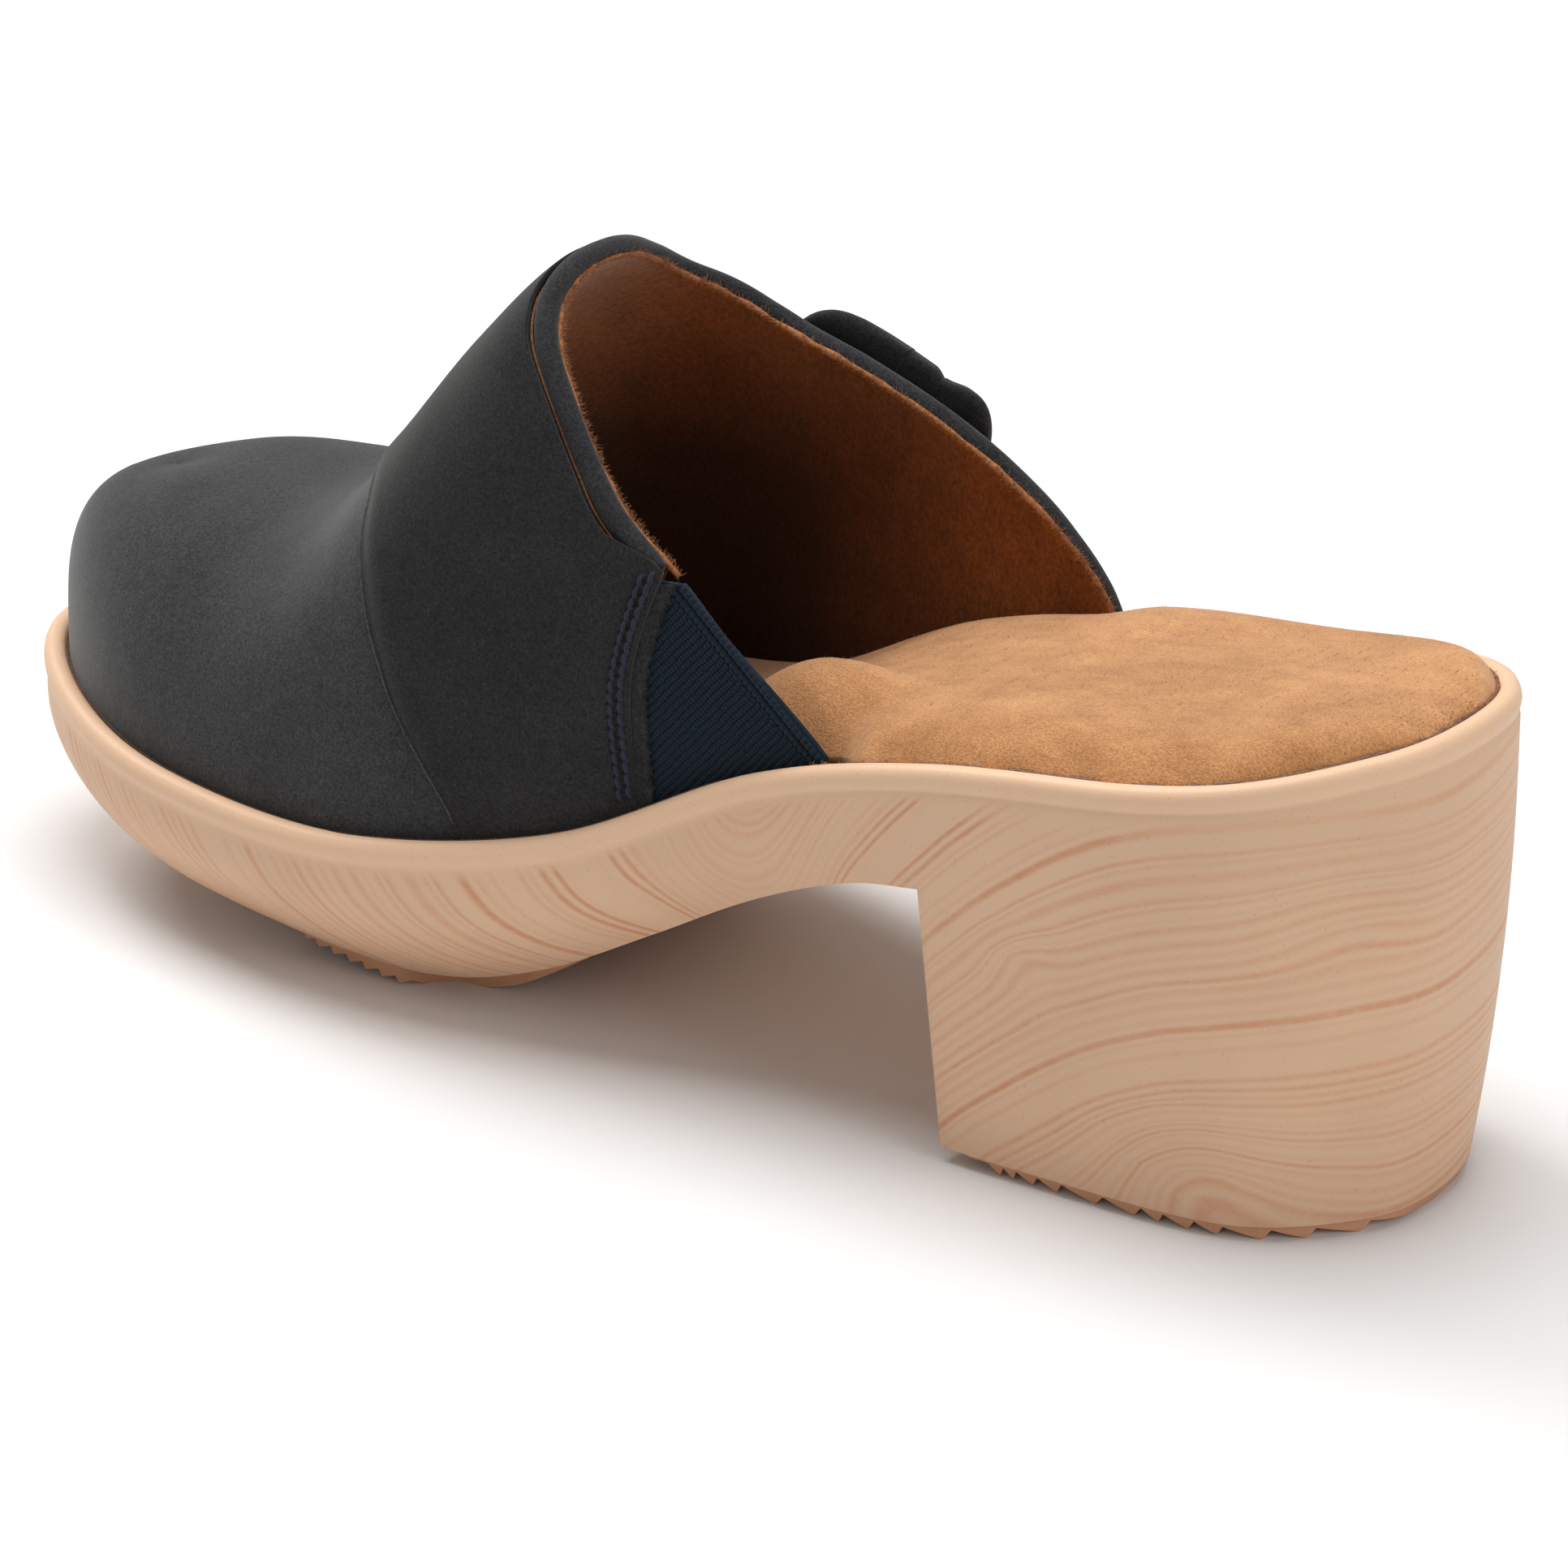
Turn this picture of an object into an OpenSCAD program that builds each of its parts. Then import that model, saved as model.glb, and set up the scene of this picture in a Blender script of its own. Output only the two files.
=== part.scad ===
// Mule clog, right shoe: a moulded wood-look platform sole with a block heel, a padded
// footbed, a closed toe, an open back, and a wide strap with a bow on the outer side.
// Frame: +X to the toe, +Y to the inner (medial) side, +Z up. The origin is on the ground
// below the middle of the shoe, and the treads stand on z = 0.

/* [Sole] */
// Length of the sole from heel tip to toe tip
sole_length = 256; // [250:1:260]
// Width of the sole across the ball of the foot
ball_width = 95.5; // [92:0.5:98]
// Width of the sole at the waist, under the arch
waist_width = 73; // [71:0.5:75]
// Width of the sole at the heel
heel_width = 70; // [68:0.5:72]
// Height of the sole's rim at the back of the heel
heel_height = 77.5; // [75:0.5:80]
// Height of the sole's rim beside the ball of the foot
platform_height = 29.4; // [28.5:0.1:30.5]
// How far back the heel's front face stands
breast_x = -55; // [-56:0.5:-54]
// Depth of the recess that holds the upper and the footbed
recess_depth = 7; // [6.8:0.1:7.4]
// Width of the rounded rim outside the recess
rim_width = 3; // [2.8:0.1:3.1]

/* [Treads] */
// Thickness of the heel tread with its teeth
heel_tread_thickness = 2.4; // [2:0.1:2.4]
// Pitch of the heel tread's teeth
heel_tooth_pitch = 5; // [4:0.5:6]
// Depth of the heel tread's teeth
heel_tooth_depth = 1.5; // [0.8:0.1:1.6]
// Pitch of the forefoot tread's teeth
ball_tooth_pitch = 3.2; // [2.8:0.2:4]

/* [Footbed] */
// Thickness of the insole board
board_thickness = 1.8; // [1.5:0.1:1.9]
// Thickness of the footbed's cover
cover_thickness = 1.0; // [0.8:0.1:1.2]
// Height of the footbed's crown above the sole's rim
footbed_crown = 6; // [5:0.1:6.5]
// Height of the pad under the arch
arch_pad_height = 7.2; // [6.8:0.1:7.6]
// Height of the cushion under the heel
heel_pad_height = 1.8; // [1.5:0.1:2]
// Length of the steel shank
shank_length = 92; // [84:1:96]
// Width of the steel shank
shank_width = 13; // [11:0.5:15]

/* [Upper] */
// Height of the ridge over the instep, at the collar
instep_height = 117.5; // [115:0.5:120]
// Thickness of the vamp
vamp_thickness = 1.2; // [1:0.1:1.2]
// Thickness of the wide strap
strap_thickness = 1.2; // [1:0.1:1.4]
// Thickness of the lining
lining_thickness = 0.8; // [0.6:0.1:0.9]
// Thickness of the elastic gore
gore_thickness = 1.1; // [0.9:0.1:1.2]
// Thickness of the rolled collar
collar_thickness = 3.6; // [3.2:0.1:3.8]

/* [Bow] */
// Length of the bow's upper loop
bow_upper_length = 19.5; // [18:0.5:20]
// Length of the bow's lower loop
bow_lower_length = 12.5; // [11:0.5:13]
// Width of the bow's loops
bow_loop_width = 23; // [21:0.5:24]
// Thickness of a padded bow loop
bow_loop_thickness = 6.5; // [6:0.5:7]

/* [Hidden] */

NUBUCK = "#474749";
STRAP = "#2f2e30";
MICROSUEDE = "#c8935f";
LINING = "#8a5a34";
WOODLOOK = "#c9a688";
NAVY = "#1b2a3a";

gap = 0.3;             // clearance between neighbouring curved layers
half_length = sole_length / 2;

// ---- curves ----------------------------------------------------------------------
// Smooth curve through [x, value] knots in rising x, level beyond its ends.
function span_of(x, knots, i = 0) =
    i >= len(knots) - 2 || x <= knots[i + 1][0] ? i : span_of(x, knots, i + 1);
function secant(knots, i) =
    (knots[i + 1][1] - knots[i][1]) / (knots[i + 1][0] - knots[i][0]);
function knot_slope(knots, i) =
    i == 0 ? secant(knots, 0) :
    i == len(knots) - 1 ? secant(knots, i - 1) :
    let (before = knots[i][0] - knots[i - 1][0], after = knots[i + 1][0] - knots[i][0])
    (secant(knots, i - 1) * after + secant(knots, i) * before) / (before + after);
function curve(x, knots) =
    let (
        last = len(knots) - 1,
        xc = min(max(x, knots[0][0]), knots[last][0]),
        i = span_of(xc, knots),
        width = knots[i + 1][0] - knots[i][0],
        t = (xc - knots[i][0]) / width
    )
    (2 * t^3 - 3 * t^2 + 1) * knots[i][1] + (t^3 - 2 * t^2 + t) * width * knot_slope(knots, i)
    + (3 * t^2 - 2 * t^3) * knots[i + 1][1] + (t^3 - t^2) * width * knot_slope(knots, i + 1);
function blend(t) = let (c = min(max(t, 0), 1)) c * c * (3 - 2 * c);
function steps(from, to, count) = [for (i = [0:count]) from + (to - from) * i / count];

// ---- sole outline ----------------------------------------------------------------
// Stations from toe tip to heel tip: x, inner half width, outer half width.
STATIONS = [
    [half_length, 8, 8], [half_length - 10, 27.5, -17.5], [half_length - 38, 43, -40],
    [48, ball_width / 2, -ball_width / 2], [10, 42.5, -43],
    [-30, waist_width / 2 - 1.5, -waist_width / 2 - 1.5], [-70, heel_width / 2 - 1, -heel_width / 2 - 1],
    [22 - half_length, 31, -32], [4.5 - half_length, 16.5, -18], [-half_length, 0.5, 0.5]
];
LAST = len(STATIONS) - 1;
INNER = 1;             // side numbers: +1 the inner side, -1 the outer side
OUTER = -1;

function station(i, side) =
    i < 0 ? station(-i, -side) :
    i > LAST ? station(2 * LAST - i, -side) :
    [STATIONS[i][0], STATIONS[i][side == INNER ? 1 : 2]];
// Point and direction of the outline at a fractional station on one side.
function outline_point(s, side) =
    let (i = min(floor(s), LAST - 1), t = s - i,
         a = station(i - 1, side), b = station(i, side),
         c = station(i + 1, side), d = station(i + 2, side))
    (2 * b + (c - a) * t + (2 * a - 5 * b + 4 * c - d) * t^2 + (3 * b - a - 3 * c + d) * t^3) / 2;
function outline_direction(s, side) =
    let (i = min(floor(s), LAST - 1), t = s - i,
         a = station(i - 1, side), b = station(i, side),
         c = station(i + 1, side), d = station(i + 2, side))
    (c - a) + 2 * (2 * a - 5 * b + 4 * c - d) * t + 3 * (3 * b - a - 3 * c + d) * t^2;
// The outline moved inwards by inset.
function inset_point(s, side, inset) =
    let (d = outline_direction(s, side))
    outline_point(s, side) + side * inset * [-d[1], d[0]] / norm(d);
// Fractional station whose outline point, moved inwards, has the given x.
function station_at(x, side, inset = 0, low = 0, high = LAST, turn = 0) =
    turn == 18 ? (low + high) / 2 :
    let (middle = (low + high) / 2)
    inset_point(middle, side, inset)[0] > x
        ? station_at(x, side, inset, middle, high, turn + 1)
        : station_at(x, side, inset, low, middle, turn + 1);

// ---- heights along the shoe ------------------------------------------------------
RIM = [[-half_length, heel_height], [-90, 69], [-55, 63.1], [-25, 53.9], [5, 38.5],
    [40, platform_height + 0.9], [80, platform_height], [half_length, platform_height + 5.2]];
UNDERSIDE = [[-55, 44], [-43, 41], [-24, 32.5], [-7, 22], [5, 14.8], [15, 9.5], [25, 5.8],
    [35, 4.2], [48, 4.4], [70, 6], [90, 8.2], [110, 11.6], [half_length, 16.8]];
// How far the side wall draws in at its foot
DRAW_IN = [[-half_length, 5], [-60, 3], [-50, 3], [-20, 5], [0, 9], [20, 12.5], [60, 12],
    [100, 8], [half_length, 5]];
heel_foot_z = 2.5;     // underside of the heel block
breast_slope = 2.7;    // how far the heel's front face leans back to its foot
function rim_z(x) = curve(x, RIM);
function underside_z(x) = curve(x, UNDERSIDE);
function floor_z(x) = rim_z(x) - recess_depth;

// ---- solids from point grids -----------------------------------------------------
// Closed rings of equal length, capped with strips between their two sides.
module ring_stack(rings) {
    count = len(rings[0]);
    half = count / 2;
    top = len(rings) - 1;
    points = [for (ring = rings) each ring];
    walls = [for (r = [0:top - 1], i = [0:count - 1])
        let (a = r * count + i, b = r * count + (i + 1) % count)
        each [[a, a + count, b], [b, a + count, b + count]]];
    function cap(base) = [for (i = [0:half - 1])
        let (a = base + i, b = base + i + 1,
             c = base + (count - i) % count, d = base + (count - i - 1) % count)
        each i == 0 ? [[a, b, d]] : i == half - 1 ? [[a, b, c]] : [[a, d, c], [a, b, d]]];
    bottom_cap = cap(0);
    top_cap = [for (f = cap(top * count)) [f[0], f[2], f[1]]];
    polyhedron(points, concat(walls, bottom_cap, top_cap), convexity = 10);
}

// A shell between two grids of points; grid[row][column]. With fold, the first row is
// folded on itself, so that its two halves are one seam.
module shell(outer, inner, fold = false) {
    rows = len(outer);
    columns = len(outer[0]);
    size = rows * columns;
    points = concat([for (row = outer) each row], [for (row = inner) each row]);
    function at(r, c) = fold && r == 0 && c > (columns - 1) / 2 ? columns - 1 - c : r * columns + c;
    function kept(faces) = [for (f = faces) if (f[0] != f[1] && f[1] != f[2] && f[2] != f[0]) f];
    sheet = [for (r = [0:rows - 2], c = [0:columns - 2])
        let (a = at(r, c), b = at(r, c + 1), d = at(r + 1, c), e = at(r + 1, c + 1))
        each [[a, b, e], [a, e, d]]];
    back = [for (f = sheet) [f[0] + size, f[2] + size, f[1] + size]];
    edge = concat(
        fold ? [] : [for (c = [0:columns - 2]) [at(0, c + 1), at(0, c)]],
        [for (c = [0:columns - 2]) [at(rows - 1, c), at(rows - 1, c + 1)]],
        [for (r = [0:rows - 2]) [at(r, 0), at(r + 1, 0)]],
        [for (r = [0:rows - 2]) [at(r + 1, columns - 1), at(r, columns - 1)]]);
    walls = [for (e = edge) each [[e[0], e[1], e[1] + size], [e[0], e[1] + size, e[0] + size]]];
    polyhedron(points, kept(concat(sheet, back, walls)), convexity = 10);
}

// ---- sole ------------------------------------------------------------------------
// Column stations of the sole, with a pair at the heel's front face.
breast_station = station_at(breast_x, INNER);
breast_foot_station = station_at(breast_x - breast_slope, INNER);
COLUMNS = concat(
    steps(0, 2, 8), [for (s = [2.33:0.33:breast_station - 0.1]) s],
    [breast_station, breast_foot_station], [6, 6.35, 6.7], steps(7, LAST, 8));
function in_heel(s) = s > (breast_station + breast_foot_station) / 2;
function foot_z(s, x) = in_heel(s) ? heel_foot_z : underside_z(x);
function both_sides(values) =
    let (last = len(values[0]) - 1)
    concat(values[0], [for (i = [last - 1:-1:1]) values[1][i]]);
// A ring at a share of the side wall's height, from 0 at the foot to 1 at the rim.
function wall_ring(share) = both_sides([for (side = [INNER, OUTER]) [for (s = COLUMNS)
    let (x = outline_point(s, side)[0],
         p = inset_point(s, side, curve(x, DRAW_IN) * (1 - share)^2.2),
         low = foot_z(s, x))
    [p[0], p[1], low + (rim_z(x) - 2 - low) * share]]]);
// A ring at an inset and a height above the rim.
function rim_ring(inset, lift) = both_sides([for (side = [INNER, OUTER]) [for (s = COLUMNS)
    let (p = inset_point(s, side, inset))
    [p[0], p[1], rim_z(outline_point(s, side)[0]) + lift]]]);

module sole_unit() {
    color(WOODLOOK) ring_stack(concat(
        [for (share = [0, 0.12, 0.3, 0.55, 0.8, 1]) wall_ring(share)],
        [rim_ring(0.35, -0.8), rim_ring(1.2, 0), rim_ring(rim_width - 0.6, 0),
         rim_ring(rim_width, -0.7), rim_ring(rim_width, -recess_depth)]));
}

// Plan of the outline moved inwards, between two x values.
function plan_points(inset) = both_sides([for (side = [INNER, OUTER])
    [for (s = COLUMNS) inset_point(s, side, inset)]]);
// Plan of the sole's foot, moved inwards by a margin.
function foot_points(margin) = both_sides([for (side = [INNER, OUTER]) [for (s = COLUMNS)
    inset_point(s, side, curve(outline_point(s, side)[0], DRAW_IN) + margin)]]);
// A strip seen from the side, extruded across the shoe's width.
module side_profile(points, width = 120) {
    translate([0, width / 2, 0]) rotate([90, 0, 0]) linear_extrude(width) polygon(points);
}
module slab_between(x_from, x_to, low, high) {
    side_profile(concat([for (x = steps(x_from, x_to, 12)) [x, low(x)]],
        [for (x = steps(x_to, x_from, 12)) [x, high(x)]]));
}
// Saw teeth along x, as points from start to end.
function teeth(start, end, pitch, depth, base) =
    let (count = floor((end - start) / pitch))
    [for (i = [0:count - 1]) each [
        [start + i * pitch + pitch * 0.15, base(start + i * pitch)],
        [start + i * pitch + pitch * 0.5, base(start + (i + 0.5) * pitch) + depth],
        [start + i * pitch + pitch * 0.85, base(start + (i + 1) * pitch)]]];

ball_rest = [32, 40];        // flat rest of the forefoot tread, from and to in x
ball_tread = [12, 66];       // ends of the forefoot tread in x
ball_tread_low = [[40, 0], [50, 0.9], [66, 2.6]];
ball_tooth_depth = 1.1;
rest_inset = 21;             // the flat rest's edge, inside the sole's outline
teeth_inset = 15;            // the toothed area's edge
// Part of the forefoot tread between two x values, with its lower edge as points.
module ball_part(x_from, x_to, lower, inset) {
    intersection() {
        side_profile(concat(lower, [for (x = steps(x_to, x_from, 8)) [x, underside_z(x) - 0.3]]));
        linear_extrude(60, center = true) polygon(plan_points(inset));
    }
}
module forefoot_tread() {
    color(WOODLOOK) {
        ball_part(ball_tread[0], ball_rest[1],
            [[ball_tread[0], underside_z(ball_tread[0]) - 0.9], [20, 5.4], [27, 1.5], [ball_rest[0], 0],
             [ball_rest[1], 0]], rest_inset);
        ball_part(ball_rest[1], ball_tread[1],
            concat([[ball_rest[1], 0]],
                teeth(ball_rest[1], ball_tread[1], ball_tooth_pitch, ball_tooth_depth,
                    function (x) curve(x, ball_tread_low)),
                [[ball_tread[1], curve(ball_tread[1], ball_tread_low)]]), teeth_inset);
    }
}

heel_back_x = -half_length;
rest_pad = [-100, -80];      // flat rest in the heel tread, from and to in x
heel_tread_margin = 1.3;     // from the heel's foot to the tread's edge
module heel_tread() {
    front = breast_x - breast_slope - 4;
    level = function (x) 0;
    color(WOODLOOK) intersection() {
        side_profile(concat(
            [[heel_back_x - 1, heel_tread_thickness]],
            teeth(heel_back_x + 4, rest_pad[0], heel_tooth_pitch, heel_tooth_depth, level),
            [[rest_pad[0], 0], [rest_pad[1], 0]],
            teeth(rest_pad[1], front, heel_tooth_pitch, heel_tooth_depth, level),
            [[front, heel_tread_thickness]]));
        linear_extrude(20, center = true) polygon(foot_points(heel_tread_margin));
    }
}

// ---- inside the sole's recess ----------------------------------------------------
layer_z = 1.8;               // thickness of the filler's and the shank's layer
shank_bed = -98;             // x of the shank's rear end
filler_back_x = 0;
board_low = 2.1;             // the board's underside above the recess floor
rivet_x = [shank_bed + 8, shank_bed + shank_length - 8];
rivet_r = 2;
head_r = 3.6;
module bottom_filler() {
    color("#a9825a") intersection() {
        slab_between(filler_back_x, half_length, function (x) floor_z(x) + 0.2,
            function (x) floor_z(x) + layer_z);
        linear_extrude(100) polygon(plan_points(12));
    }
}
// Straight lines that stand in a rivet's place, upright at the shank.
module rivet_shafts(radius, low, high) {
    for (x = rivet_x) translate([x, 0, floor_z(x) + low]) cylinder(r = radius, h = high - low, $fn = 32);
}
module shank() {
    color("#a8abad") difference() {
        intersection() {
            slab_between(shank_bed, shank_bed + shank_length, function (x) floor_z(x) + 0.3,
                function (x) floor_z(x) + layer_z - 0.1);
            linear_extrude(100) translate([shank_bed + shank_length / 2, 0])
                square([shank_length, shank_width], center = true);
        }
        rivet_shafts(rivet_r + 0.15, -3, 6);
    }
}
module insole_board() {
    color("#8f8271") difference() {
        intersection() {
            slab_between(-half_length, half_length, function (x) floor_z(x) + board_low,
                function (x) floor_z(x) + board_low + board_thickness);
            linear_extrude(100) polygon(plan_points(8));
        }
        rivet_shafts(rivet_r + 0.15, -3, 8);
        for (x = rivet_x) translate([x, 0, floor_z(x) + board_low + board_thickness - 1])
            cylinder(r = head_r + 0.4, h = 6, $fn = 32);
    }
}
module shank_rivets() {
    color("#b9a36a") {
        rivet_shafts(rivet_r, 0.5, board_low + 1);
        for (x = rivet_x) translate([x, 0, floor_z(x) + board_low + 0.95])
            cylinder(r = head_r, h = 0.7, $fn = 32);
    }
}

// ---- footbed ---------------------------------------------------------------------
// The footbed's edge clears the rim at the open heel and the lining further forward.
open_edge = rim_width + 0.3;
lined_edge = 7.8;
EDGE_INNER = [[-half_length, open_edge], [-42, open_edge], [-37, lined_edge], [half_length, lined_edge]];
EDGE_OUTER = [[-half_length, open_edge], [-54, open_edge], [-48, lined_edge], [half_length, lined_edge]];
foam_low = 4.3;              // the foam's underside above the recess floor
BED_STATIONS = steps(0.3, LAST - 0.25, 34);
ACROSS = [-1, -0.93, -0.82, -0.6, -0.3, 0, 0.17, 0.33, 0.48, 0.63, 0.77, 0.89, 1];   // outer to inner edge
function bed_point(s, v, z, shrink = 0) =
    let (x0 = outline_point(s, INNER)[0],
         inner = inset_point(s, INNER, lookup(x0, EDGE_INNER) + shrink),
         outer = inset_point(s, OUTER, lookup(x0, EDGE_OUTER) + shrink),
         p = outer + (inner - outer) * (v + 1) / 2)
    [p[0], p[1], z(p[0], p[1], v)];
function bed_grid(z, shrink = 0) =
    [for (s = BED_STATIONS) [for (v = ACROSS) bed_point(s, v, z, shrink)]];
// A round-topped lump of unit height on an ellipse.
function lump(x, y, centre, radii) =
    let (r = norm([(x - centre[0]) / radii[0], (y - centre[1]) / radii[1]])) r < 1 ? (1 - r * r)^2 : 0;
arch_centre = [-24, 15];
arch_radii = [32, 10.8];
heel_centre = [-88, 0];
heel_radii = [28, 22];
// The crown falls away to the rim round the back of the heel.
function heel_fall(x) = 1 - (max(0, -88 - x) / 37)^6;
function foam_top(x, y, v) =
    rim_z(x) - 1.7 + (footbed_crown + 0.3) * (1 - abs(v)^10) * heel_fall(x)
    - 1.4 * lump(x, y, heel_centre, [40, 30]);
function pads_top(x, y, v) =
    foam_top(x, y, v) + arch_pad_height * lump(x, y, arch_centre, arch_radii)
    + heel_pad_height * lump(x, y, heel_centre, heel_radii);
module footbed_foam() {
    color("#d9c9a3") shell(bed_grid(function (x, y, v) floor_z(x) + foam_low, 0.3),
        bed_grid(function (x, y, v) foam_top(x, y, v), 0.3));
}
module footbed_cover() {
    color(MICROSUEDE) shell(bed_grid(function (x, y, v) pads_top(x, y, v) + 0.35),
        bed_grid(function (x, y, v) pads_top(x, y, v) + 0.35 + cover_thickness));
}
// A lens-shaped pad that lies on the foam.
module pad(centre, radii, height) {
    lens = function (share, turn, lift) let (
        x = centre[0] + radii[0] * share * cos(turn),
        y = centre[1] + radii[1] * share * sin(turn),
        edge = min(foam_cross(x, y), 1))
        [x, y, foam_top(x, y, edge) + 0.12 + lift * height * (1 - share * share)^2];
    shares = [0.9, 0.72, 0.54, 0.36, 0.18];
    turns = steps(0, 360 - 15, 23);
    ring_stack(concat(
        [for (share = [0.18, 0.54, 0.9]) [for (t = turns) lens(share, t, 0)]],
        [for (share = shares) [for (t = turns) lens(share, t, 0.8)]]));
}
// Share of the half width at which a point of the footbed lies.
function foam_cross(x, y) =
    let (inner = inset_point(station_at(x, INNER), INNER, lookup(x, EDGE_INNER))[1],
         outer = inset_point(station_at(x, OUTER), OUTER, lookup(x, EDGE_OUTER))[1])
    2 * (y - outer) / (inner - outer) - 1;
module arch_pad() {
    color("#c4b28c") pad(arch_centre, arch_radii, arch_pad_height);
}
module heel_pad() {
    color("#7fa3b0") pad(heel_centre, heel_radii, heel_pad_height);
}

// ---- upper -----------------------------------------------------------------------
// The upper is one arched surface. A section is set by a station along the outline and
// runs by its angle from the inner edge at 0 over the ridge at 90 to the outer edge at 180.
upper_inset = 4;
tuck = recess_depth - 1.2;   // how far the layers reach down into the recess
ridge_front_x = half_length - 21;
RIDGE_Z = [[-50, instep_height - 29.5], [-20, instep_height - 13.5], [0, instep_height - 5.5],
    [24, instep_height - 1], [37, instep_height - 13.8], [50, 87], [62, 73.5], [73, 67.1],
    [88, 65], [100, 63.8], [ridge_front_x, 61.6]];
RIDGE_Y = [[-40, 4], [0, 5], [24, 6], [50, 5], [73, 4], [ridge_front_x, 7]];
// Powers of the section curve across and upwards, and the outer shoulder's drop
INNER_WIDE = [[-40, 0.75], [24, 0.8], [60, 0.85], [ridge_front_x, 0.7]];
OUTER_WIDE = [[-40, 0.52], [10, 0.56], [30, 0.62], [60, 0.8], [ridge_front_x, 0.7]];
INNER_HIGH = [[-40, 0.85], [24, 0.85], [60, 0.74], [90, 0.62], [ridge_front_x, 0.52]];
OUTER_HIGH = [[-40, 0.9], [24, 1], [50, 0.95], [75, 0.8], [90, 0.68], [ridge_front_x, 0.54]];
OUTER_DROP = [[-45, 0], [-5, 3.5], [3, 6.5], [10, 11.5], [17, 15.5], [24, 16.5], [36, 13.5],
    [50, 9], [75, 3], [ridge_front_x, 0]];
// The ridge keeps pace with the base up to x = 60, and then closes in on its front end.
function ridge_x(base_x, front) =
    let (t = min(max((base_x - 60) / (half_length - 3.5 - 60), 0), 1))
    base_x < 60 ? base_x : 60 + (front - 60) * (1 - (1 - t)^1.5);
// Point of the surface at a depth below its outer face; an angle below 0 or above 180 is
// a share of the tuck into the recess.
function upper_point(s, angle, depth) =
    let (
        side = angle <= 90 ? INNER : OUTER,
        base = inset_point(s, side, upper_inset + depth),
        base_z = rim_z(base[0]),
        a = min(max(angle <= 90 ? angle : 180 - angle, 0), 90),
        below = max(-angle, angle - 180, 0),
        x = ridge_x(base[0], ridge_front_x - depth),
        ridge_y = curve(x, RIDGE_Y),
        rise = curve(x, RIDGE_Z) - depth - base_z,
        wide = curve(x, side == INNER ? INNER_WIDE : OUTER_WIDE),
        high = curve(x, side == INNER ? INNER_HIGH : OUTER_HIGH),
        drop = side == INNER ? 0 : curve(x, OUTER_DROP),
        across = cos(a)^wide
    )
    [x + (base[0] - x) * cos(a)^0.9, ridge_y + (base[1] - ridge_y) * across,
     base_z + rise * sin(a)^high - drop * cos(a) * sin(a) - below * tuck];

// Lines across the upper, as [angle, x of the base] from the inner to the outer edge
COLLAR = [[0, -35.5], [10, -27.5], [20, -18.5], [30, -9.5], [40, 2], [50, 10.5], [60, 17],
    [70, 20.5], [80, 22], [90, 23], [100, 25], [110, 23.5], [120, 14], [130, -4], [140, -20],
    [150, -31], [160, -37.5], [170, -42], [180, -45]];
STRAP_FRONT = [[0, 23.5], [6, 30], [12, 35], [18, 38.3], [25, 41.3], [40, 45.7], [50, 47.7],
    [60, 50.8], [70, 55.5], [80, 61.5], [90, 65], [120, 59], [150, 46], [168, 36], [180, 30]];
gore_angle = 31;             // angle at which the gore's top corner meets the collar
GORE_SEAM = [[0, -5.5], [15, -4], [gore_angle, -7.8]];
gore_underlap = 12;          // how far the gore reaches forward under the strap
function line_x(line, angle) = curve(angle, line);
function surface_at(x, angle, depth) =
    let (side = angle <= 90 ? INNER : OUTER)
    upper_point(station_at(x, side, upper_inset + depth), angle, depth);
// Shift in x that puts a line the given width inside the collar's edge.
function collar_shift(angle, width) =
    let (a = min(max(angle, 1), 179),
         run = surface_at(line_x(COLLAR, a + 1), a + 1, 0) - surface_at(line_x(COLLAR, a - 1), a - 1, 0))
    width / max(0.3, norm([run[1], run[2]]) / norm(run));
function inside_collar(angle, width) = line_x(COLLAR, angle) + collar_shift(angle, width);
// Rear edge of a layer: behind the gore's seam low on the inner side, else at the collar.
function rear_edge(angle, seam_offset, width) =
    let (t = blend((angle - gore_angle + 1) / 5))
    (1 - t) * (curve(min(angle, gore_angle), GORE_SEAM) + seam_offset) + t * inside_collar(angle, width);

ARCH = concat([-1, 0], steps(6, 174, 28), [180, 181]);
// Grid of a layer between two lines across the upper. front and rear give x from an angle.
function layer_grid(angles, front, rear, rows, depth) =
    [for (r = [0:rows]) [for (angle = angles)
        let (a = min(max(angle, 0), 180), x = front(a) + (rear(a) - front(a)) * r / rows)
        surface_at(x, angle, depth(a))]];
// Grid from the toe's tip to a rear line.
function toe_grid(rear, rows, depth) =
    [for (r = [0:rows]) [for (angle = ARCH)
        let (a = min(max(angle, 0), 180),
             side = angle <= 90 ? INNER : OUTER,
             s = station_at(rear(a), side, upper_inset + depth) * (r / rows)^1.2)
        upper_point(s, angle, depth)]];

collar_bead = 4;             // width of the rolled collar, with its clearance
strap_setback = 4.2;         // how far the strap's raw edge lies inside the collar's edge
function lining_depth() = vamp_thickness + 1.3;
module vamp() {
    color(NUBUCK) shell(toe_grid(function (a) rear_edge(a, gore_underlap + 7, collar_bead), 20, 0),
        toe_grid(function (a) rear_edge(a, gore_underlap + 7, collar_bead), 20, vamp_thickness), true);
}
module toe_puff() {
    rear = function (a) 74 + 12 * sin(a);
    depth = vamp_thickness + gap;
    color("#d8d5cc") shell(toe_grid(rear, 9, depth), toe_grid(rear, 9, depth + 0.7), true);
}
strap_line = 56;             // x at which the strap's lining takes over from the vamp's
module vamp_lining() {
    rear = function (a) strap_line + 8 * sin(a);
    depth = lining_depth();
    color(LINING) shell(toe_grid(rear, 12, depth), toe_grid(rear, 12, depth + lining_thickness), true);
}
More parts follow.
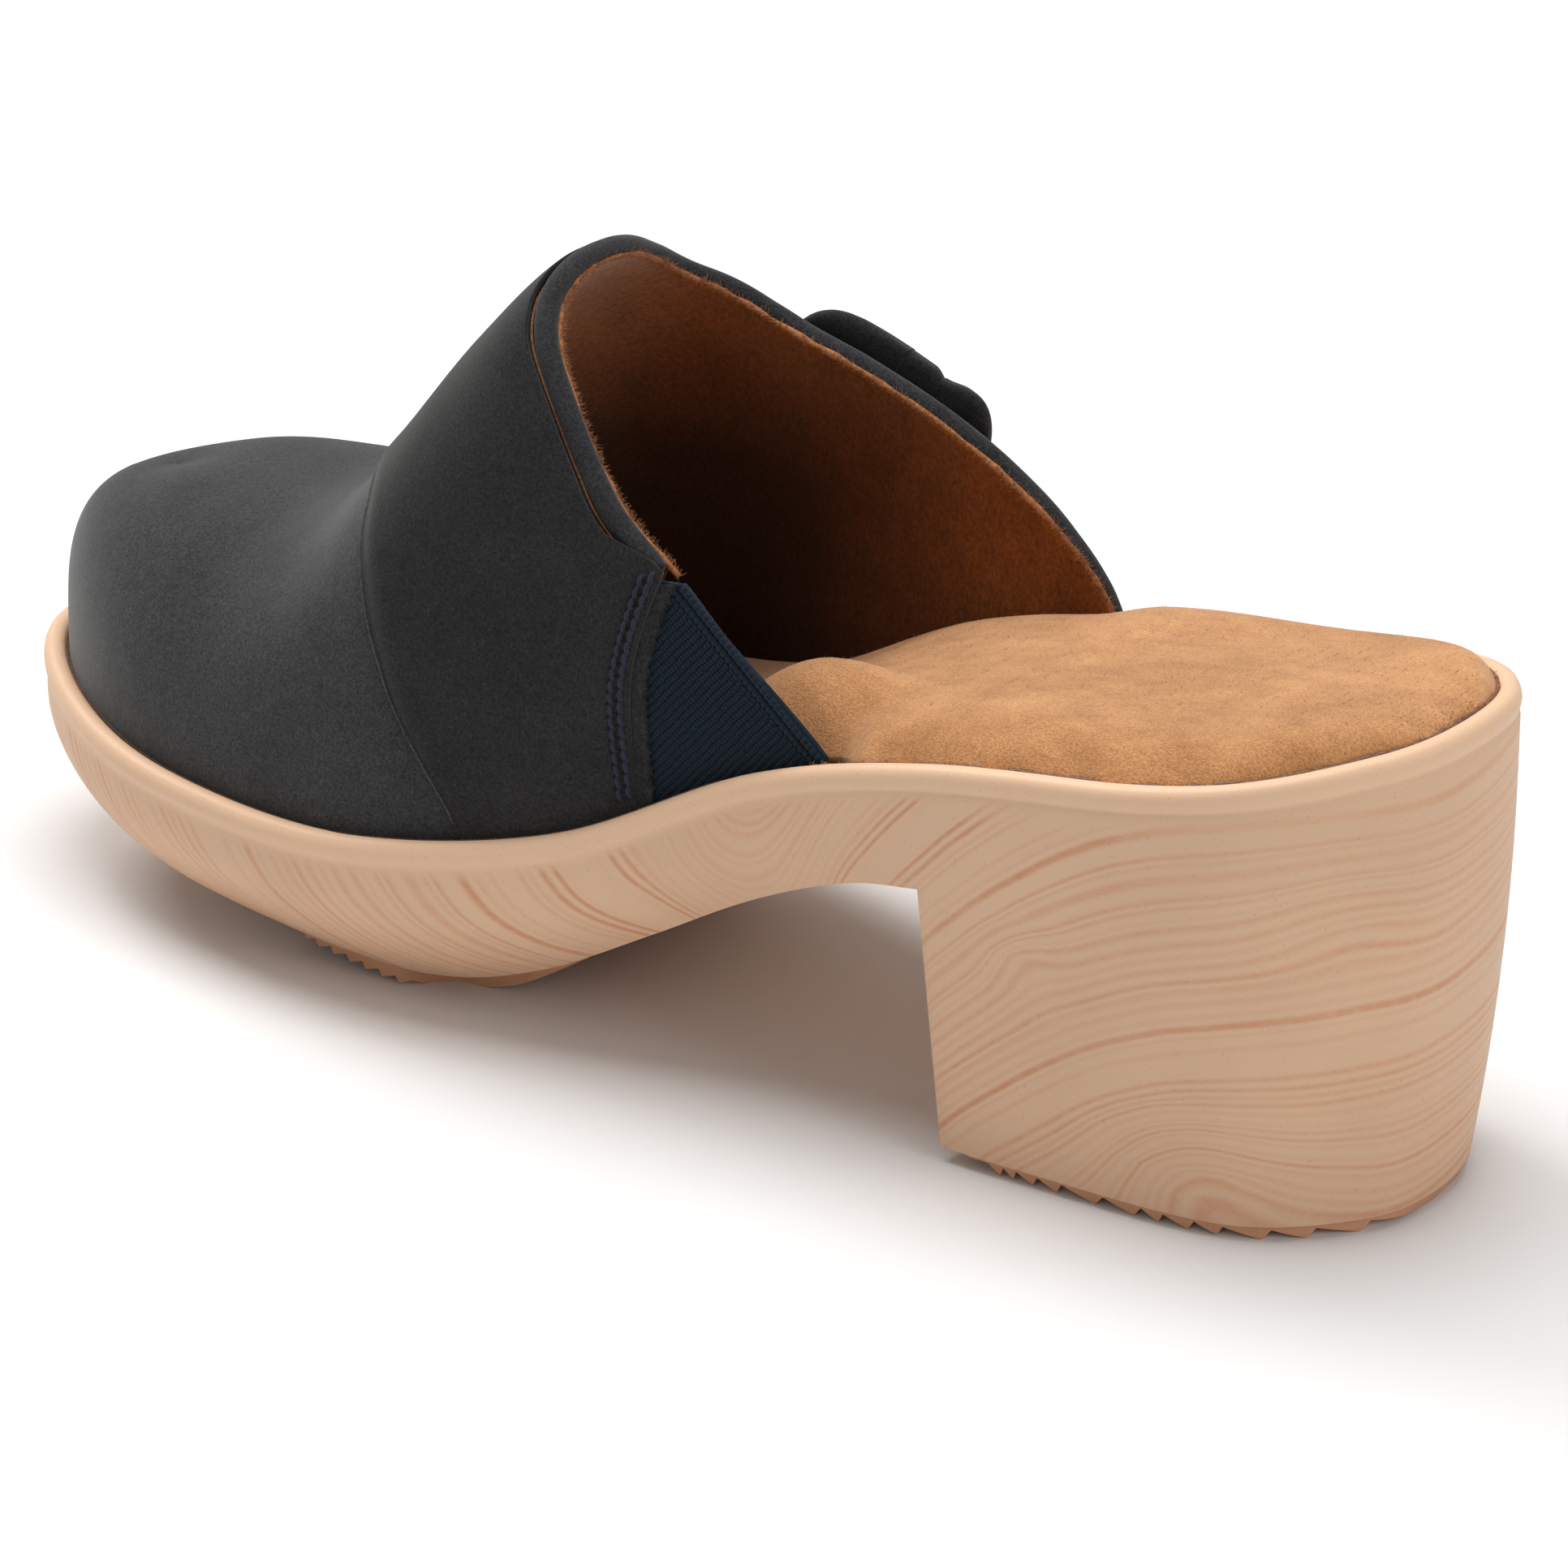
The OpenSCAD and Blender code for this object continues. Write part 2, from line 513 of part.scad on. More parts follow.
module strap_lining() {
    front = function (a) strap_line + 8 * sin(a) - 0.3;
    rear = function (a) rear_edge(a, 2, collar_bead);
    color(LINING) shell(
        layer_grid(ARCH, front, rear, 12, function (a) lining_depth()),
        layer_grid(ARCH, front, rear, 12, function (a) lining_depth() + lining_thickness));
}
// The strap lies pressed to the vamp at the rim and stands off it higher up.
function stand_off(a) = blend(min(a, 180 - a) / 14);
function strap_outer(a) = -0.8 - (strap_thickness + gap - 0.8) * stand_off(a);
function strap_inner(a) = -0.25 - (gap - 0.25) * stand_off(a);
module strap_overlay() {
    front = function (a) line_x(STRAP_FRONT, a);
    rear = function (a) rear_edge(a, 0, strap_setback);
    color(STRAP) shell(layer_grid(ARCH, front, rear, 12, function (a) strap_outer(a)),
        layer_grid(ARCH, front, rear, 12, function (a) strap_inner(a)));
}
gore_top = gore_angle - 2;
GORE_ARCH = concat([-1, 0], steps(4, gore_top, 7));
module elastic_gore() {
    front = function (a) curve(a, GORE_SEAM) + gore_underlap;
    rear = function (a) line_x(COLLAR, a);
    low = vamp_thickness - 0.1;
    color(NAVY) shell(layer_grid(GORE_ARCH, front, rear, 12, function (a) low - gore_thickness + gap),
        layer_grid(GORE_ARCH, front, rear, 12, function (a) low + gap));
}
// Strip between the strap's edge and the gore; its rear edge shows behind the strap.
module gore_facing() {
    front = function (a) curve(a, GORE_SEAM) + gore_underlap - 2;
    rear = function (a) curve(a, GORE_SEAM) - 2.4;
    color("#1d1c1e") shell(layer_grid(GORE_ARCH, front, rear, 4, function (a) -0.15),
        layer_grid(GORE_ARCH, front, rear, 4, function (a) 0.15));
}

// ---- collar, stitches and bow ----------------------------------------------------
function unit(v) = v / norm(v);
function surface_normal(x, angle, depth) =
    let (along = surface_at(x + 1, angle, depth) - surface_at(x - 1, angle, depth),
         over = surface_at(x, angle + 1.5, depth) - surface_at(x, angle - 1.5, depth))
    unit(cross(over, along));
// A tube of round section swept through centres, with a normal for each centre.
module tube(centres, normals, wide, thick, sides) {
    last = len(centres) - 1;
    rings = [for (i = [0:last])
        let (run = unit(centres[min(i + 1, last)] - centres[max(i - 1, 0)]),
             n = unit(normals[i] - (normals[i] * run) * run), b = cross(run, n))
        [for (k = [0:sides - 1]) let (t = -k * 360 / sides)
            centres[i] + b * wide * cos(t) + n * thick * sin(t)]];
    ring_stack(rings);
}
collar_start = gore_angle - 0.5;
module collar_binding() {
    angles = steps(collar_start, 176, 44);
    middle = 0.9;            // depth of the bead's middle below the upper's outer face
    bead = 1.8;
    centres = concat([for (a = angles) surface_at(inside_collar(a, bead + 0.1), a, middle)],
        [surface_at(inside_collar(180, bead + 0.1), 180, middle),
         surface_at(inside_collar(180, bead + 0.1), 181, middle)]);
    normals = [for (i = [0:len(centres) - 1])
        let (a = i < len(angles) ? angles[i] : 177) surface_normal(inside_collar(a, bead), a, middle)];
    color(NUBUCK) tube(centres, normals, bead, collar_thickness / 2, 10);
}

stitch_rows = [1.1, 2.9];    // distances of the two stitch rows from the strap's edge
module gore_stitching() {
    color(NAVY) for (row = stitch_rows) for (a = [2:1.62:gore_angle - 1]) {
        x = curve(a, GORE_SEAM) + row;
        lift = strap_outer(a) - 0.42;
        tube([for (t = [a, a + 0.6, a + 1.15]) surface_at(x, t, lift)],
            [for (t = [a, a + 0.6, a + 1.15]) surface_normal(x, t, lift)], 0.4, 0.28, 6);
    }
}

// The bow lies on the strap's outer side, along the collar. Its path gives the x of the base
// and the angle on the upper for a signed distance from the knot's middle.
BOW_X = [[-24, 21.5], [0, 0.5], [24, -18.7]];
BOW_ANGLE = [[-24, 130], [0, 142], [24, 155.8]];
bow_shift = 3.1;             // how far the knot's middle lies down the path
knot_length = 8;
knot_width = 21;
bow_clearance = 0.5;         // between the bow and the strap
function bow_base(d) =
    surface_at(curve(d + bow_shift, BOW_X), curve(d + bow_shift, BOW_ANGLE), strap_outer(90));
function bow_up(d) =
    surface_normal(curve(d + bow_shift, BOW_X), curve(d + bow_shift, BOW_ANGLE), strap_outer(90));
function bow_run(d) = unit(bow_base(d + 0.5) - bow_base(d - 0.5));
// Oval section of the bow at a distance along it, standing on the strap.
function bow_ring(d, half_width, half_height) =
    let (run = bow_run(d), n = unit(bow_up(d) - (bow_up(d) * run) * run), b = cross(run, n))
    [for (k = [0:15]) let (t = -k * 22.5)
        bow_base(d) + b * half_width * cos(t) + n * (half_height * (1 + sin(t)) + bow_clearance)];
// A padded loop, gathered at the knot and round at its free end.
module bow_loop(side) {
    reach = side > 0 ? bow_lower_length : bow_upper_length;
    shares = [0, 0.08, 0.2, 0.35, 0.5, 0.65, 0.8, 0.9, 0.97, 1];
    swell = function (t) t < 0.35 ? 0.93 + 0.07 * blend(t / 0.35)
        : t < 0.6 ? 1 : sqrt(1 - 0.82 * ((t - 0.6) / 0.4)^2);
    places = [for (t = side > 0 ? shares : [for (k = [len(shares) - 1:-1:0]) shares[k]])
        [side * (knot_length / 2 + 0.3 + t * reach), swell(t)]];
    ring_stack([for (p = places)
        bow_ring(p[0], bow_loop_width / 2 * p[1], bow_loop_thickness / 2 * p[1]^0.8)]);
}
module bow_upper_loop() {
    color(STRAP) bow_loop(-1);
}
module bow_lower_loop() {
    color(STRAP) bow_loop(1);
}
module bow_knot() {
    color(STRAP) ring_stack([for (t = [-1, -0.5, 0, 0.5, 1])
        bow_ring(t * knot_length / 2, knot_width / 2 * (1 - 0.06 * t * t),
            bow_loop_thickness / 2 * (0.93 - 0.1 * t * t))]);
}

sole_unit();
forefoot_tread();
heel_tread();
bottom_filler();
shank();
shank_rivets();
insole_board();
footbed_foam();
arch_pad();
heel_pad();
footbed_cover();
vamp_lining();
strap_lining();
toe_puff();
vamp();
elastic_gore();
gore_facing();
strap_overlay();
gore_stitching();
collar_binding();
bow_upper_loop();
bow_lower_loop();
bow_knot();
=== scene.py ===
import math

import bpy
import numpy as np
from mathutils import Matrix, Vector


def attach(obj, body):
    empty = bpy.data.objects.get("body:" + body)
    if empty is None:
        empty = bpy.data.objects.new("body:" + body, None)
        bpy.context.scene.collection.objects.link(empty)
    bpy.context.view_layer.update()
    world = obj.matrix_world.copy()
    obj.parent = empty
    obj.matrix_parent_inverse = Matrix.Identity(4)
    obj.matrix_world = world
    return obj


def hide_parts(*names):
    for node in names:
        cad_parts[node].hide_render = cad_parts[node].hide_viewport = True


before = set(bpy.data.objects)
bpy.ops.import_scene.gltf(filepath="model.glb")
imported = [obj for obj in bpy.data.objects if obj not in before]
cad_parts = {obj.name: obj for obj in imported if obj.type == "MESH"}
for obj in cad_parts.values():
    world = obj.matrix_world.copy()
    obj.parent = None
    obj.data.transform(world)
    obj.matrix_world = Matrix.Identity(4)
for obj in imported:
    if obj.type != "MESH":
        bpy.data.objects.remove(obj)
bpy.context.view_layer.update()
scene = bpy.context.scene
MM = 0.001
chance = np.random.default_rng(11)

# ---- curves and the shoe's shape, in millimetres ----
INNER = 1
OUTER = -1
HALF = 128.0
# x of each station of the outline from toe to heel, with y of its inner and outer side
STATIONS = np.array([
    [128, 8, 8], [118, 27.5, -17.5], [90, 43, -40], [48, 47.75, -47.75], [10, 42.5, -43],
    [-30, 35, -38], [-70, 34, -36], [-106, 31, -32], [-123.5, 16.5, -18], [-128, 0.5, 0.5],
])
LAST = len(STATIONS) - 1
# [x, height] of the rim and the underside, and [x, how far the bottom is drawn in]
RIM = [[-128, 77.5], [-90, 69], [-55, 63.1], [-25, 53.9], [5, 38.5], [40, 30.3], [80, 29.4], [128, 34.6]]
UNDERSIDE = [[-55, 44], [-43, 41], [-24, 32.5], [-7, 22], [5, 14.8], [15, 9.5], [25, 5.8], [35, 4.2],
             [48, 4.4], [70, 6], [90, 8.2], [110, 11.6], [128, 16.8]]
DRAW_IN = [[-128, 5], [-60, 3], [-50, 3], [-20, 5], [0, 9], [20, 12.5], [60, 12], [100, 8], [128, 5]]
RECESS = 7.0
BREAST_X = -55.0
BREAST_SLOPE = 2.7
HEEL_FOOT_Z = 2.5


def curve(x, knots):
    """Smooth curve through [x, value] knots, level beyond its ends."""
    table = np.array(knots, float)
    xs = table[:, 0]
    vs = table[:, 1]
    width = np.diff(xs)
    secant = np.diff(vs) / width
    slope = np.empty(len(xs))
    slope[0] = secant[0]
    slope[-1] = secant[-1]
    slope[1:-1] = (secant[:-1] * width[1:] + secant[1:] * width[:-1]) / (width[:-1] + width[1:])
    x = np.clip(np.asarray(x, float), xs[0], xs[-1])
    i = np.clip(np.searchsorted(xs, x) - 1, 0, len(width) - 1)
    t = (x - xs[i]) / width[i]
    start = (2 * t**3 - 3 * t**2 + 1) * vs[i] + (t**3 - 2 * t**2 + t) * width[i] * slope[i]
    end = (3 * t**2 - 2 * t**3) * vs[i + 1] + (t**3 - t**2) * width[i] * slope[i + 1]
    return start + end


def ease(t):
    c = np.clip(t, 0, 1)
    return c * c * (3 - 2 * c)


def unit(ways):
    return ways / np.linalg.norm(ways, axis=-1, keepdims=True)


def rim_z(x):
    return curve(x, RIM)


def ladder(side):
    """The outline's points of one side, with one of the other side beyond each end."""
    column = 1 if side == INNER else 2
    other = 2 if side == INNER else 1
    own = STATIONS[:, [0, column]]
    return np.vstack([STATIONS[1, [0, other]], own, STATIONS[LAST - 1, [0, other]]])


LADDERS = {INNER: ladder(INNER), OUTER: ladder(OUTER)}


def spans(s, side):
    """Place within its span and the four outline points round it, for each station."""
    s = np.asarray(s, float)
    i = np.minimum(np.floor(s).astype(int), LAST - 1)
    rungs = LADDERS[side]
    t = (s - i)[..., None]
    return t, rungs[i], rungs[i + 1], rungs[i + 2], rungs[i + 3]


def outline_point(s, side):
    t, a, b, c, d = spans(s, side)
    return (2 * b + (c - a) * t + (2 * a - 5 * b + 4 * c - d) * t**2 + (3 * b - a - 3 * c + d) * t**3) / 2


def inset_point(s, side, inset):
    """The outline moved inwards by inset."""
    t, a, b, c, d = spans(s, side)
    way = (c - a) + 2 * (2 * a - 5 * b + 4 * c - d) * t + 3 * (3 * b - a - 3 * c + d) * t**2
    way = unit(way)
    normal = np.stack([-way[..., 1], way[..., 0]], axis=-1)
    return outline_point(s, side) + side * np.asarray(inset, float)[..., None] * normal


def station_at(x, side, inset=0.0):
    """Station whose outline point, moved inwards, has the given x."""
    x = np.asarray(x, float)
    low = np.zeros_like(x)
    high = np.full_like(x, float(LAST))
    inset = np.zeros_like(x) + inset
    for _ in range(24):
        middle = (low + high) / 2
        ahead = inset_point(middle, side, inset)[..., 0] > x
        low = np.where(ahead, middle, low)
        high = np.where(ahead, high, middle)
    return (low + high) / 2


# ---- the upper's surface ----
UPPER_INSET = 4.0
TUCK = RECESS - 1.2
# The ridge keeps pace with the base up to RIDGE_TURN, and then closes in on its front end.
RIDGE_TURN = 60.0
RIDGE_FRONT = HALF - 21
BASE_FRONT = HALF - 3.5
# [x, value] of the ridge, and of the powers of the section curve across and upwards
RIDGE_Z = [[-50, 88], [-20, 104], [0, 112], [24, 116.5], [37, 103.7], [50, 87], [62, 73.5], [73, 67.1],
           [88, 65], [100, 63.8], [RIDGE_FRONT, 61.6]]
RIDGE_Y = [[-40, 4], [0, 5], [24, 6], [50, 5], [73, 4], [RIDGE_FRONT, 7]]
INNER_WIDE = [[-40, 0.75], [24, 0.8], [60, 0.85], [RIDGE_FRONT, 0.7]]
OUTER_WIDE = [[-40, 0.52], [10, 0.56], [30, 0.62], [60, 0.8], [RIDGE_FRONT, 0.7]]
INNER_HIGH = [[-40, 0.85], [24, 0.85], [60, 0.74], [90, 0.62], [RIDGE_FRONT, 0.52]]
OUTER_HIGH = [[-40, 0.9], [24, 1], [50, 0.95], [75, 0.8], [90, 0.68], [RIDGE_FRONT, 0.54]]
OUTER_DROP = [[-45, 0], [-5, 3.5], [3, 6.5], [10, 11.5], [17, 15.5], [24, 16.5], [36, 13.5], [50, 9],
              [75, 3], [RIDGE_FRONT, 0]]
# [angle over the foot, x of the base] of lines across the upper; angles run from inner to outer
COLLAR = [[0, -35.5], [10, -27.5], [20, -18.5], [30, -9.5], [40, 2], [50, 10.5], [60, 17], [70, 20.5],
          [80, 22], [90, 23], [100, 25], [110, 23.5], [120, 14], [130, -4], [140, -20], [150, -31],
          [160, -37.5], [170, -42], [180, -45]]
STRAP_FRONT = [[0, 23.5], [6, 30], [12, 35], [18, 38.3], [25, 41.3], [40, 45.7], [50, 47.7], [60, 50.8],
               [70, 55.5], [80, 61.5], [90, 65], [120, 59], [150, 46], [168, 36], [180, 30]]
GORE_ANGLE = 31.0
GORE_SEAM = [[0, -5.5], [15, -4], [31, -7.8]]
GORE_UNDERLAP = 12.0
STRAP_LINE = 56.0
VAMP_THICK = 1.2
GAP = 0.3
LINING_DEPTH = VAMP_THICK + 1.3
LINING_THICK = 0.8
COLLAR_BEAD = 4.0
STRAP_SETBACK = 4.2


def side_part(s, angle, depth, side):
    """Half of a section of the upper; an angle below 0 or above 180 goes down into the recess."""
    base = inset_point(s, side, UPPER_INSET + depth)
    base_z = rim_z(base[..., 0])
    a = np.radians(np.clip(angle if side == INNER else 180 - angle, 0, 90))
    below = np.maximum(np.maximum(-angle, angle - 180), 0)
    front = RIDGE_FRONT - depth
    t = np.clip((base[..., 0] - RIDGE_TURN) / (BASE_FRONT - RIDGE_TURN), 0, 1)
    closing = RIDGE_TURN + (front - RIDGE_TURN) * (1 - (1 - t) ** 1.5)
    x = np.where(base[..., 0] < RIDGE_TURN, base[..., 0], closing)
    ridge_y = curve(x, RIDGE_Y)
    rise = curve(x, RIDGE_Z) - depth - base_z
    wide = curve(x, INNER_WIDE if side == INNER else OUTER_WIDE)
    high = curve(x, INNER_HIGH if side == INNER else OUTER_HIGH)
    drop = 0 if side == INNER else curve(x, OUTER_DROP)
    flat = np.maximum(np.cos(a), 0)
    steep = np.maximum(np.sin(a), 0)
    return np.stack([
        x + (base[..., 0] - x) * flat**0.9,
        ridge_y + (base[..., 1] - ridge_y) * flat**wide,
        base_z + rise * steep**high - drop * flat * steep - below * TUCK,
    ], axis=-1)


def upper_point(s_inner, s_outer, angle, depth):
    inner = side_part(s_inner, angle, depth, INNER)
    outer = side_part(s_outer, angle, depth, OUTER)
    return np.where((angle <= 90)[..., None], inner, outer)


def surface_at(x, angle, depth):
    """Point of the upper's surface for the x of its base, the angle over the foot and a depth."""
    x, angle, depth = np.broadcast_arrays(
        np.asarray(x, float), np.asarray(angle, float), np.asarray(depth, float))
    return upper_point(station_at(x, INNER, UPPER_INSET + depth), station_at(x, OUTER, UPPER_INSET + depth),
                       angle, depth)


def surface_normal(x, angle, depth):
    along = surface_at(x + 0.6, angle, depth) - surface_at(x - 0.6, angle, depth)
    over = surface_at(x, angle + 0.8, depth) - surface_at(x, angle - 0.8, depth)
    return unit(np.cross(over, along))


def inside_collar(angle, width):
    """Base x of the line that runs the given width inside the collar's edge."""
    a = np.clip(np.asarray(angle, float), 1, 179)
    run = surface_at(curve(a + 1, COLLAR), a + 1, 0) - surface_at(curve(a - 1, COLLAR), a - 1, 0)
    flat = np.linalg.norm(run[..., 1:], axis=-1) / np.linalg.norm(run, axis=-1)
    return curve(angle, COLLAR) + width / np.maximum(0.3, flat)


def rear_edge(angle, seam_offset, width):
    """Base x of a layer's rear edge: along the gore's seam, then inside the collar."""
    t = ease((angle - GORE_ANGLE + 1) / 5)
    seam = curve(np.minimum(angle, GORE_ANGLE), GORE_SEAM) + seam_offset
    return (1 - t) * seam + t * inside_collar(angle, width)


def arch_angles(count):
    return np.concatenate([[-1, -0.5, 0], np.linspace(2, 178, count), [180, 180.5, 181]])


def toe_grid(rear, rows, depth, angles):
    """Grid from the toe's tip to a rear line; depth is a function of row share and angle."""
    share = np.linspace(0, 1, rows + 1)[:, None] ** 1.2
    a = np.clip(angles, 0, 180)
    x = rear(a)
    d = depth(np.linspace(0, 1, rows + 1)[:, None], angles[None, :])
    inner = station_at(x[None, :] + 0 * d, INNER, UPPER_INSET + d) * share
    outer = station_at(x[None, :] + 0 * d, OUTER, UPPER_INSET + d) * share
    return upper_point(inner, outer, angles[None, :] + 0 * d, d)


def layer_grid(angles, front, rear, shares, depth):
    """Grid between two lines across the upper; front and rear give a base x from an angle."""
    a = np.clip(angles, 0, 180)
    start = front(a)[None, :]
    end = rear(a)[None, :]
    r = shares[:, None]
    x = start + (end - start) * r
    d = depth(r + 0 * x, a[None, :] + 0 * x)
    return surface_at(x, angles[None, :] + 0 * x, d)


def level(depth):
    """The depth of a layer that lies evenly."""
    return lambda r, a: depth + 0 * r * a


# ---- meshes ----
def mesh_object(name, points, faces):
    mesh = bpy.data.meshes.new(name)
    mesh.from_pydata((np.asarray(points) * MM).tolist(), [], faces)
    mesh.validate()
    mesh.update()
    mesh.polygons.foreach_set("use_smooth", [True] * len(mesh.polygons))
    made = bpy.data.objects.new(name, mesh)
    scene.collection.objects.link(made)
    return made


def grid_faces(rows, columns, start=0, flip=False, wrap=False):
    faces = []
    for r in range(rows - 1):
        for c in range(columns if wrap else columns - 1):
            a = start + r * columns + c
            b = start + r * columns + (c + 1) % columns
            quad = (a, b, b + columns, a + columns)
            faces.append(quad[::-1] if flip else quad)
    return faces


def shell(name, outer, inner, bulge=0.35):
    """Closed sheet between two equal grids, with a rounded edge all round."""
    rows, columns = outer.shape[:2]
    size = rows * columns
    points = [outer.reshape(-1, 3), inner.reshape(-1, 3)]
    faces = grid_faces(rows, columns)
    faces += grid_faces(rows, columns, size, flip=True)
    border = [(0, c) for c in range(columns)]
    border += [(r, columns - 1) for r in range(1, rows)]
    border += [(rows - 1, c) for c in range(columns - 2, -1, -1)]
    border += [(r, 0) for r in range(rows - 2, 0, -1)]
    middle = []
    for r, c in border:
        near = (min(max(r, 1), rows - 2), min(max(c, 1), columns - 2))
        edge = (outer[r, c] + inner[r, c]) / 2
        away = edge - (outer[near] + inner[near]) / 2
        length = np.linalg.norm(away)
        thick = np.linalg.norm(outer[r, c] - inner[r, c])
        middle.append(edge + (away / length * thick * bulge if length > 1e-6 else 0))
    points.append(np.array(middle))
    count = len(border)
    for k, (r0, c0) in enumerate(border):
        r1, c1 = border[(k + 1) % count]
        a = r0 * columns + c0
        b = r1 * columns + c1
        m = 2 * size + k
        n = 2 * size + (k + 1) % count
        faces.append((b, a, m, n))
        faces.append((n, m, a + size, b + size))
    return mesh_object(name, np.concatenate(points), faces)


def ring_part(rings):
    """Points and faces of a closed tube through equal rings of points."""
    rings = np.asarray(rings)
    count, sides = rings.shape[:2]
    faces = grid_faces(count, sides, wrap=True)
    faces.append(tuple(range(sides))[::-1])
    faces.append(tuple((count - 1) * sides + k for k in range(sides)))
    return rings.reshape(-1, 3), faces


def sweep(name, rings):
    return mesh_object(name, *ring_part(rings))


def square_to(ways, run):
    """The part of each way that is square to the run, with length 1."""
    return unit(ways - (ways * run).sum(axis=1, keepdims=True) * run)


def tube_rings(centres, normals, wide, thick, sides):
    """Oval rings along a line; thick is measured along the normals."""
    run = unit(np.gradient(centres, axis=0))
    up = square_to(normals, run)
    across = np.cross(run, up)
    turns = np.linspace(0, 2 * math.pi, sides, endpoint=False)
    wide = np.zeros(len(centres)) + wide
    thick = np.zeros(len(centres)) + thick
    return (centres[:, None, :] + across[:, None, :] * (wide[:, None] * np.cos(turns))[..., None]
            + up[:, None, :] * (thick[:, None] * np.sin(turns))[..., None])


def joined(name, parts):
    """One object from several pairs of points and faces."""
    points = []
    faces = []
    start = 0
    for part_points, part_faces in parts:
        points.append(part_points)
        faces += [tuple(v + start for v in f) for f in part_faces]
        start += len(part_points)
    return mesh_object(name, np.concatenate(points), faces)


def fibres(name, roots, ways, count, length, radius):
    """Short loose fibres between neighbouring roots: thin curved spikes with random lean."""
    parts = []
    total = len(roots) - 1
    for _ in range(count):
        place = chance.uniform(0, total)
        i = min(int(place), total - 1)
        t = place - i
        root = roots[i] * (1 - t) + roots[i + 1] * t
        way = ways[i] * (1 - t) + ways[i + 1] * t + chance.normal(0, 0.55, 3)
        way /= np.linalg.norm(way)
        bend = np.cross(way, chance.normal(0, 1, 3))
        bend /= np.linalg.norm(bend)
        reach = length * chance.uniform(0.35, 1.15)
        side = np.cross(way, bend)
        rings = []
        for share in (0.0, 0.5, 1.0):
            middle = root + way * reach * share + bend * reach * 0.35 * share * share
            r = radius * (1 - 0.75 * share)
            rings.append([middle + bend * r, middle - bend * r * 0.5 + side * r * 0.87,
                          middle - bend * r * 0.5 - side * r * 0.87])
        parts.append(ring_part(rings))
    return joined(name, parts)


def wandering(count, step, spread):
    """A smooth random value along a line, with a new draw at every few points."""
    knots = np.arange(0, count, step)
    return np.interp(np.arange(count), knots, chance.normal(0, spread, len(knots)))


def piece(made, node, material):
    """Give a visible piece its material, attach it to the root body, and hide the CAD node it shows."""
    made.data.materials.clear()
    made.data.materials.append(material)
    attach(made, "root")
    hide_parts(node)


# ---- materials ----
class Paint:
    """A node material with short helpers; scales are in features per metre."""

    def __init__(self, name, specular, **settings):
        self.material = bpy.data.materials.new(name)
        self.material.use_nodes = True
        self.tree = self.material.node_tree
        self.shader = self.tree.nodes["Principled BSDF"]
        self.shader.inputs["Specular IOR Level"].default_value = specular
        for label, value in settings.items():
            self.shader.inputs[label.replace("_", " ")].default_value = value
        self.place = self.tree.nodes.new("ShaderNodeTexCoord").outputs["Object"]

    def link(self, a, b):
        self.tree.links.new(a, b)

    def mapped(self, scale, turn):
        node = self.tree.nodes.new("ShaderNodeMapping")
        node.inputs["Scale"].default_value = scale
        node.inputs["Rotation"].default_value = turn
        self.link(self.place, node.inputs["Vector"])
        return node.outputs["Vector"]

    def noise(self, scale, detail=3.0, rough=0.55, at=None, distortion=0.0):
        node = self.tree.nodes.new("ShaderNodeTexNoise")
        node.inputs["Scale"].default_value = scale
        node.inputs["Detail"].default_value = detail
        node.inputs["Roughness"].default_value = rough
        node.inputs["Distortion"].default_value = distortion
        self.link(at or self.place, node.inputs["Vector"])
        return node.outputs["Fac"]

    def ring_noise(self, value, scale):
        """One-dimensional noise along a value, so whole grain lines share it."""
        node = self.tree.nodes.new("ShaderNodeTexNoise")
        node.noise_dimensions = "1D"
        node.inputs["Scale"].default_value = scale
        node.inputs["Detail"].default_value = 0.5
        self.link(value, node.inputs["W"])
        return node.outputs["Fac"]

    def math(self, kind, a, b=0.0, c=0.0, clamp=False):
        node = self.tree.nodes.new("ShaderNodeMath")
        node.operation = kind
        node.use_clamp = clamp
        for socket, value in zip(node.inputs, (a, b, c)):
            if isinstance(value, (int, float)):
                socket.default_value = value
            else:
                self.link(value, socket)
        return node.outputs[0]

    def ramp(self, value, *stops):
        node = self.tree.nodes.new("ShaderNodeValToRGB")
        band = node.color_ramp
        while len(band.elements) < len(stops):
            band.elements.new(0.5)
        for element, (at, colour) in zip(band.elements, stops):
            element.position = at
            element.color = (*colour, 1)
        self.link(value, node.inputs["Fac"])
        return node.outputs["Color"]

    def greys(self, value, *stops):
        return self.ramp(value, *[(at, (grey, grey, grey)) for at, grey in stops])

    def mix(self, share, a, b, kind="MIX"):
        node = self.tree.nodes.new("ShaderNodeMix")
        node.data_type = "RGBA"
        node.blend_type = kind
        for socket, value in ((node.inputs[0], share), (node.inputs[6], a), (node.inputs[7], b)):
            if isinstance(value, (int, float)):
                socket.default_value = value
            elif isinstance(value, tuple):
                socket.default_value = (*value, 1)
            else:
                self.link(value, socket)
        return node.outputs[2]

    def attribute(self, name):
        node = self.tree.nodes.new("ShaderNodeAttribute")
        node.attribute_name = name
        return node.outputs["Fac"]

    def bump(self, height, distance, strength, under=None):
        node = self.tree.nodes.new("ShaderNodeBump")
        node.inputs["Strength"].default_value = strength
        node.inputs["Distance"].default_value = distance
        self.link(height, node.inputs["Height"])
        if under is not None:
            self.link(under, node.inputs["Normal"])
        return node.outputs["Normal"]

    def done(self, colour, rough=None, normal=None):
        self.link(colour, self.shader.inputs["Base Color"])
        if rough is not None:
            self.link(rough, self.shader.inputs["Roughness"])
        if normal is not None:
            self.link(normal, self.shader.inputs["Normal"])
        return self.material


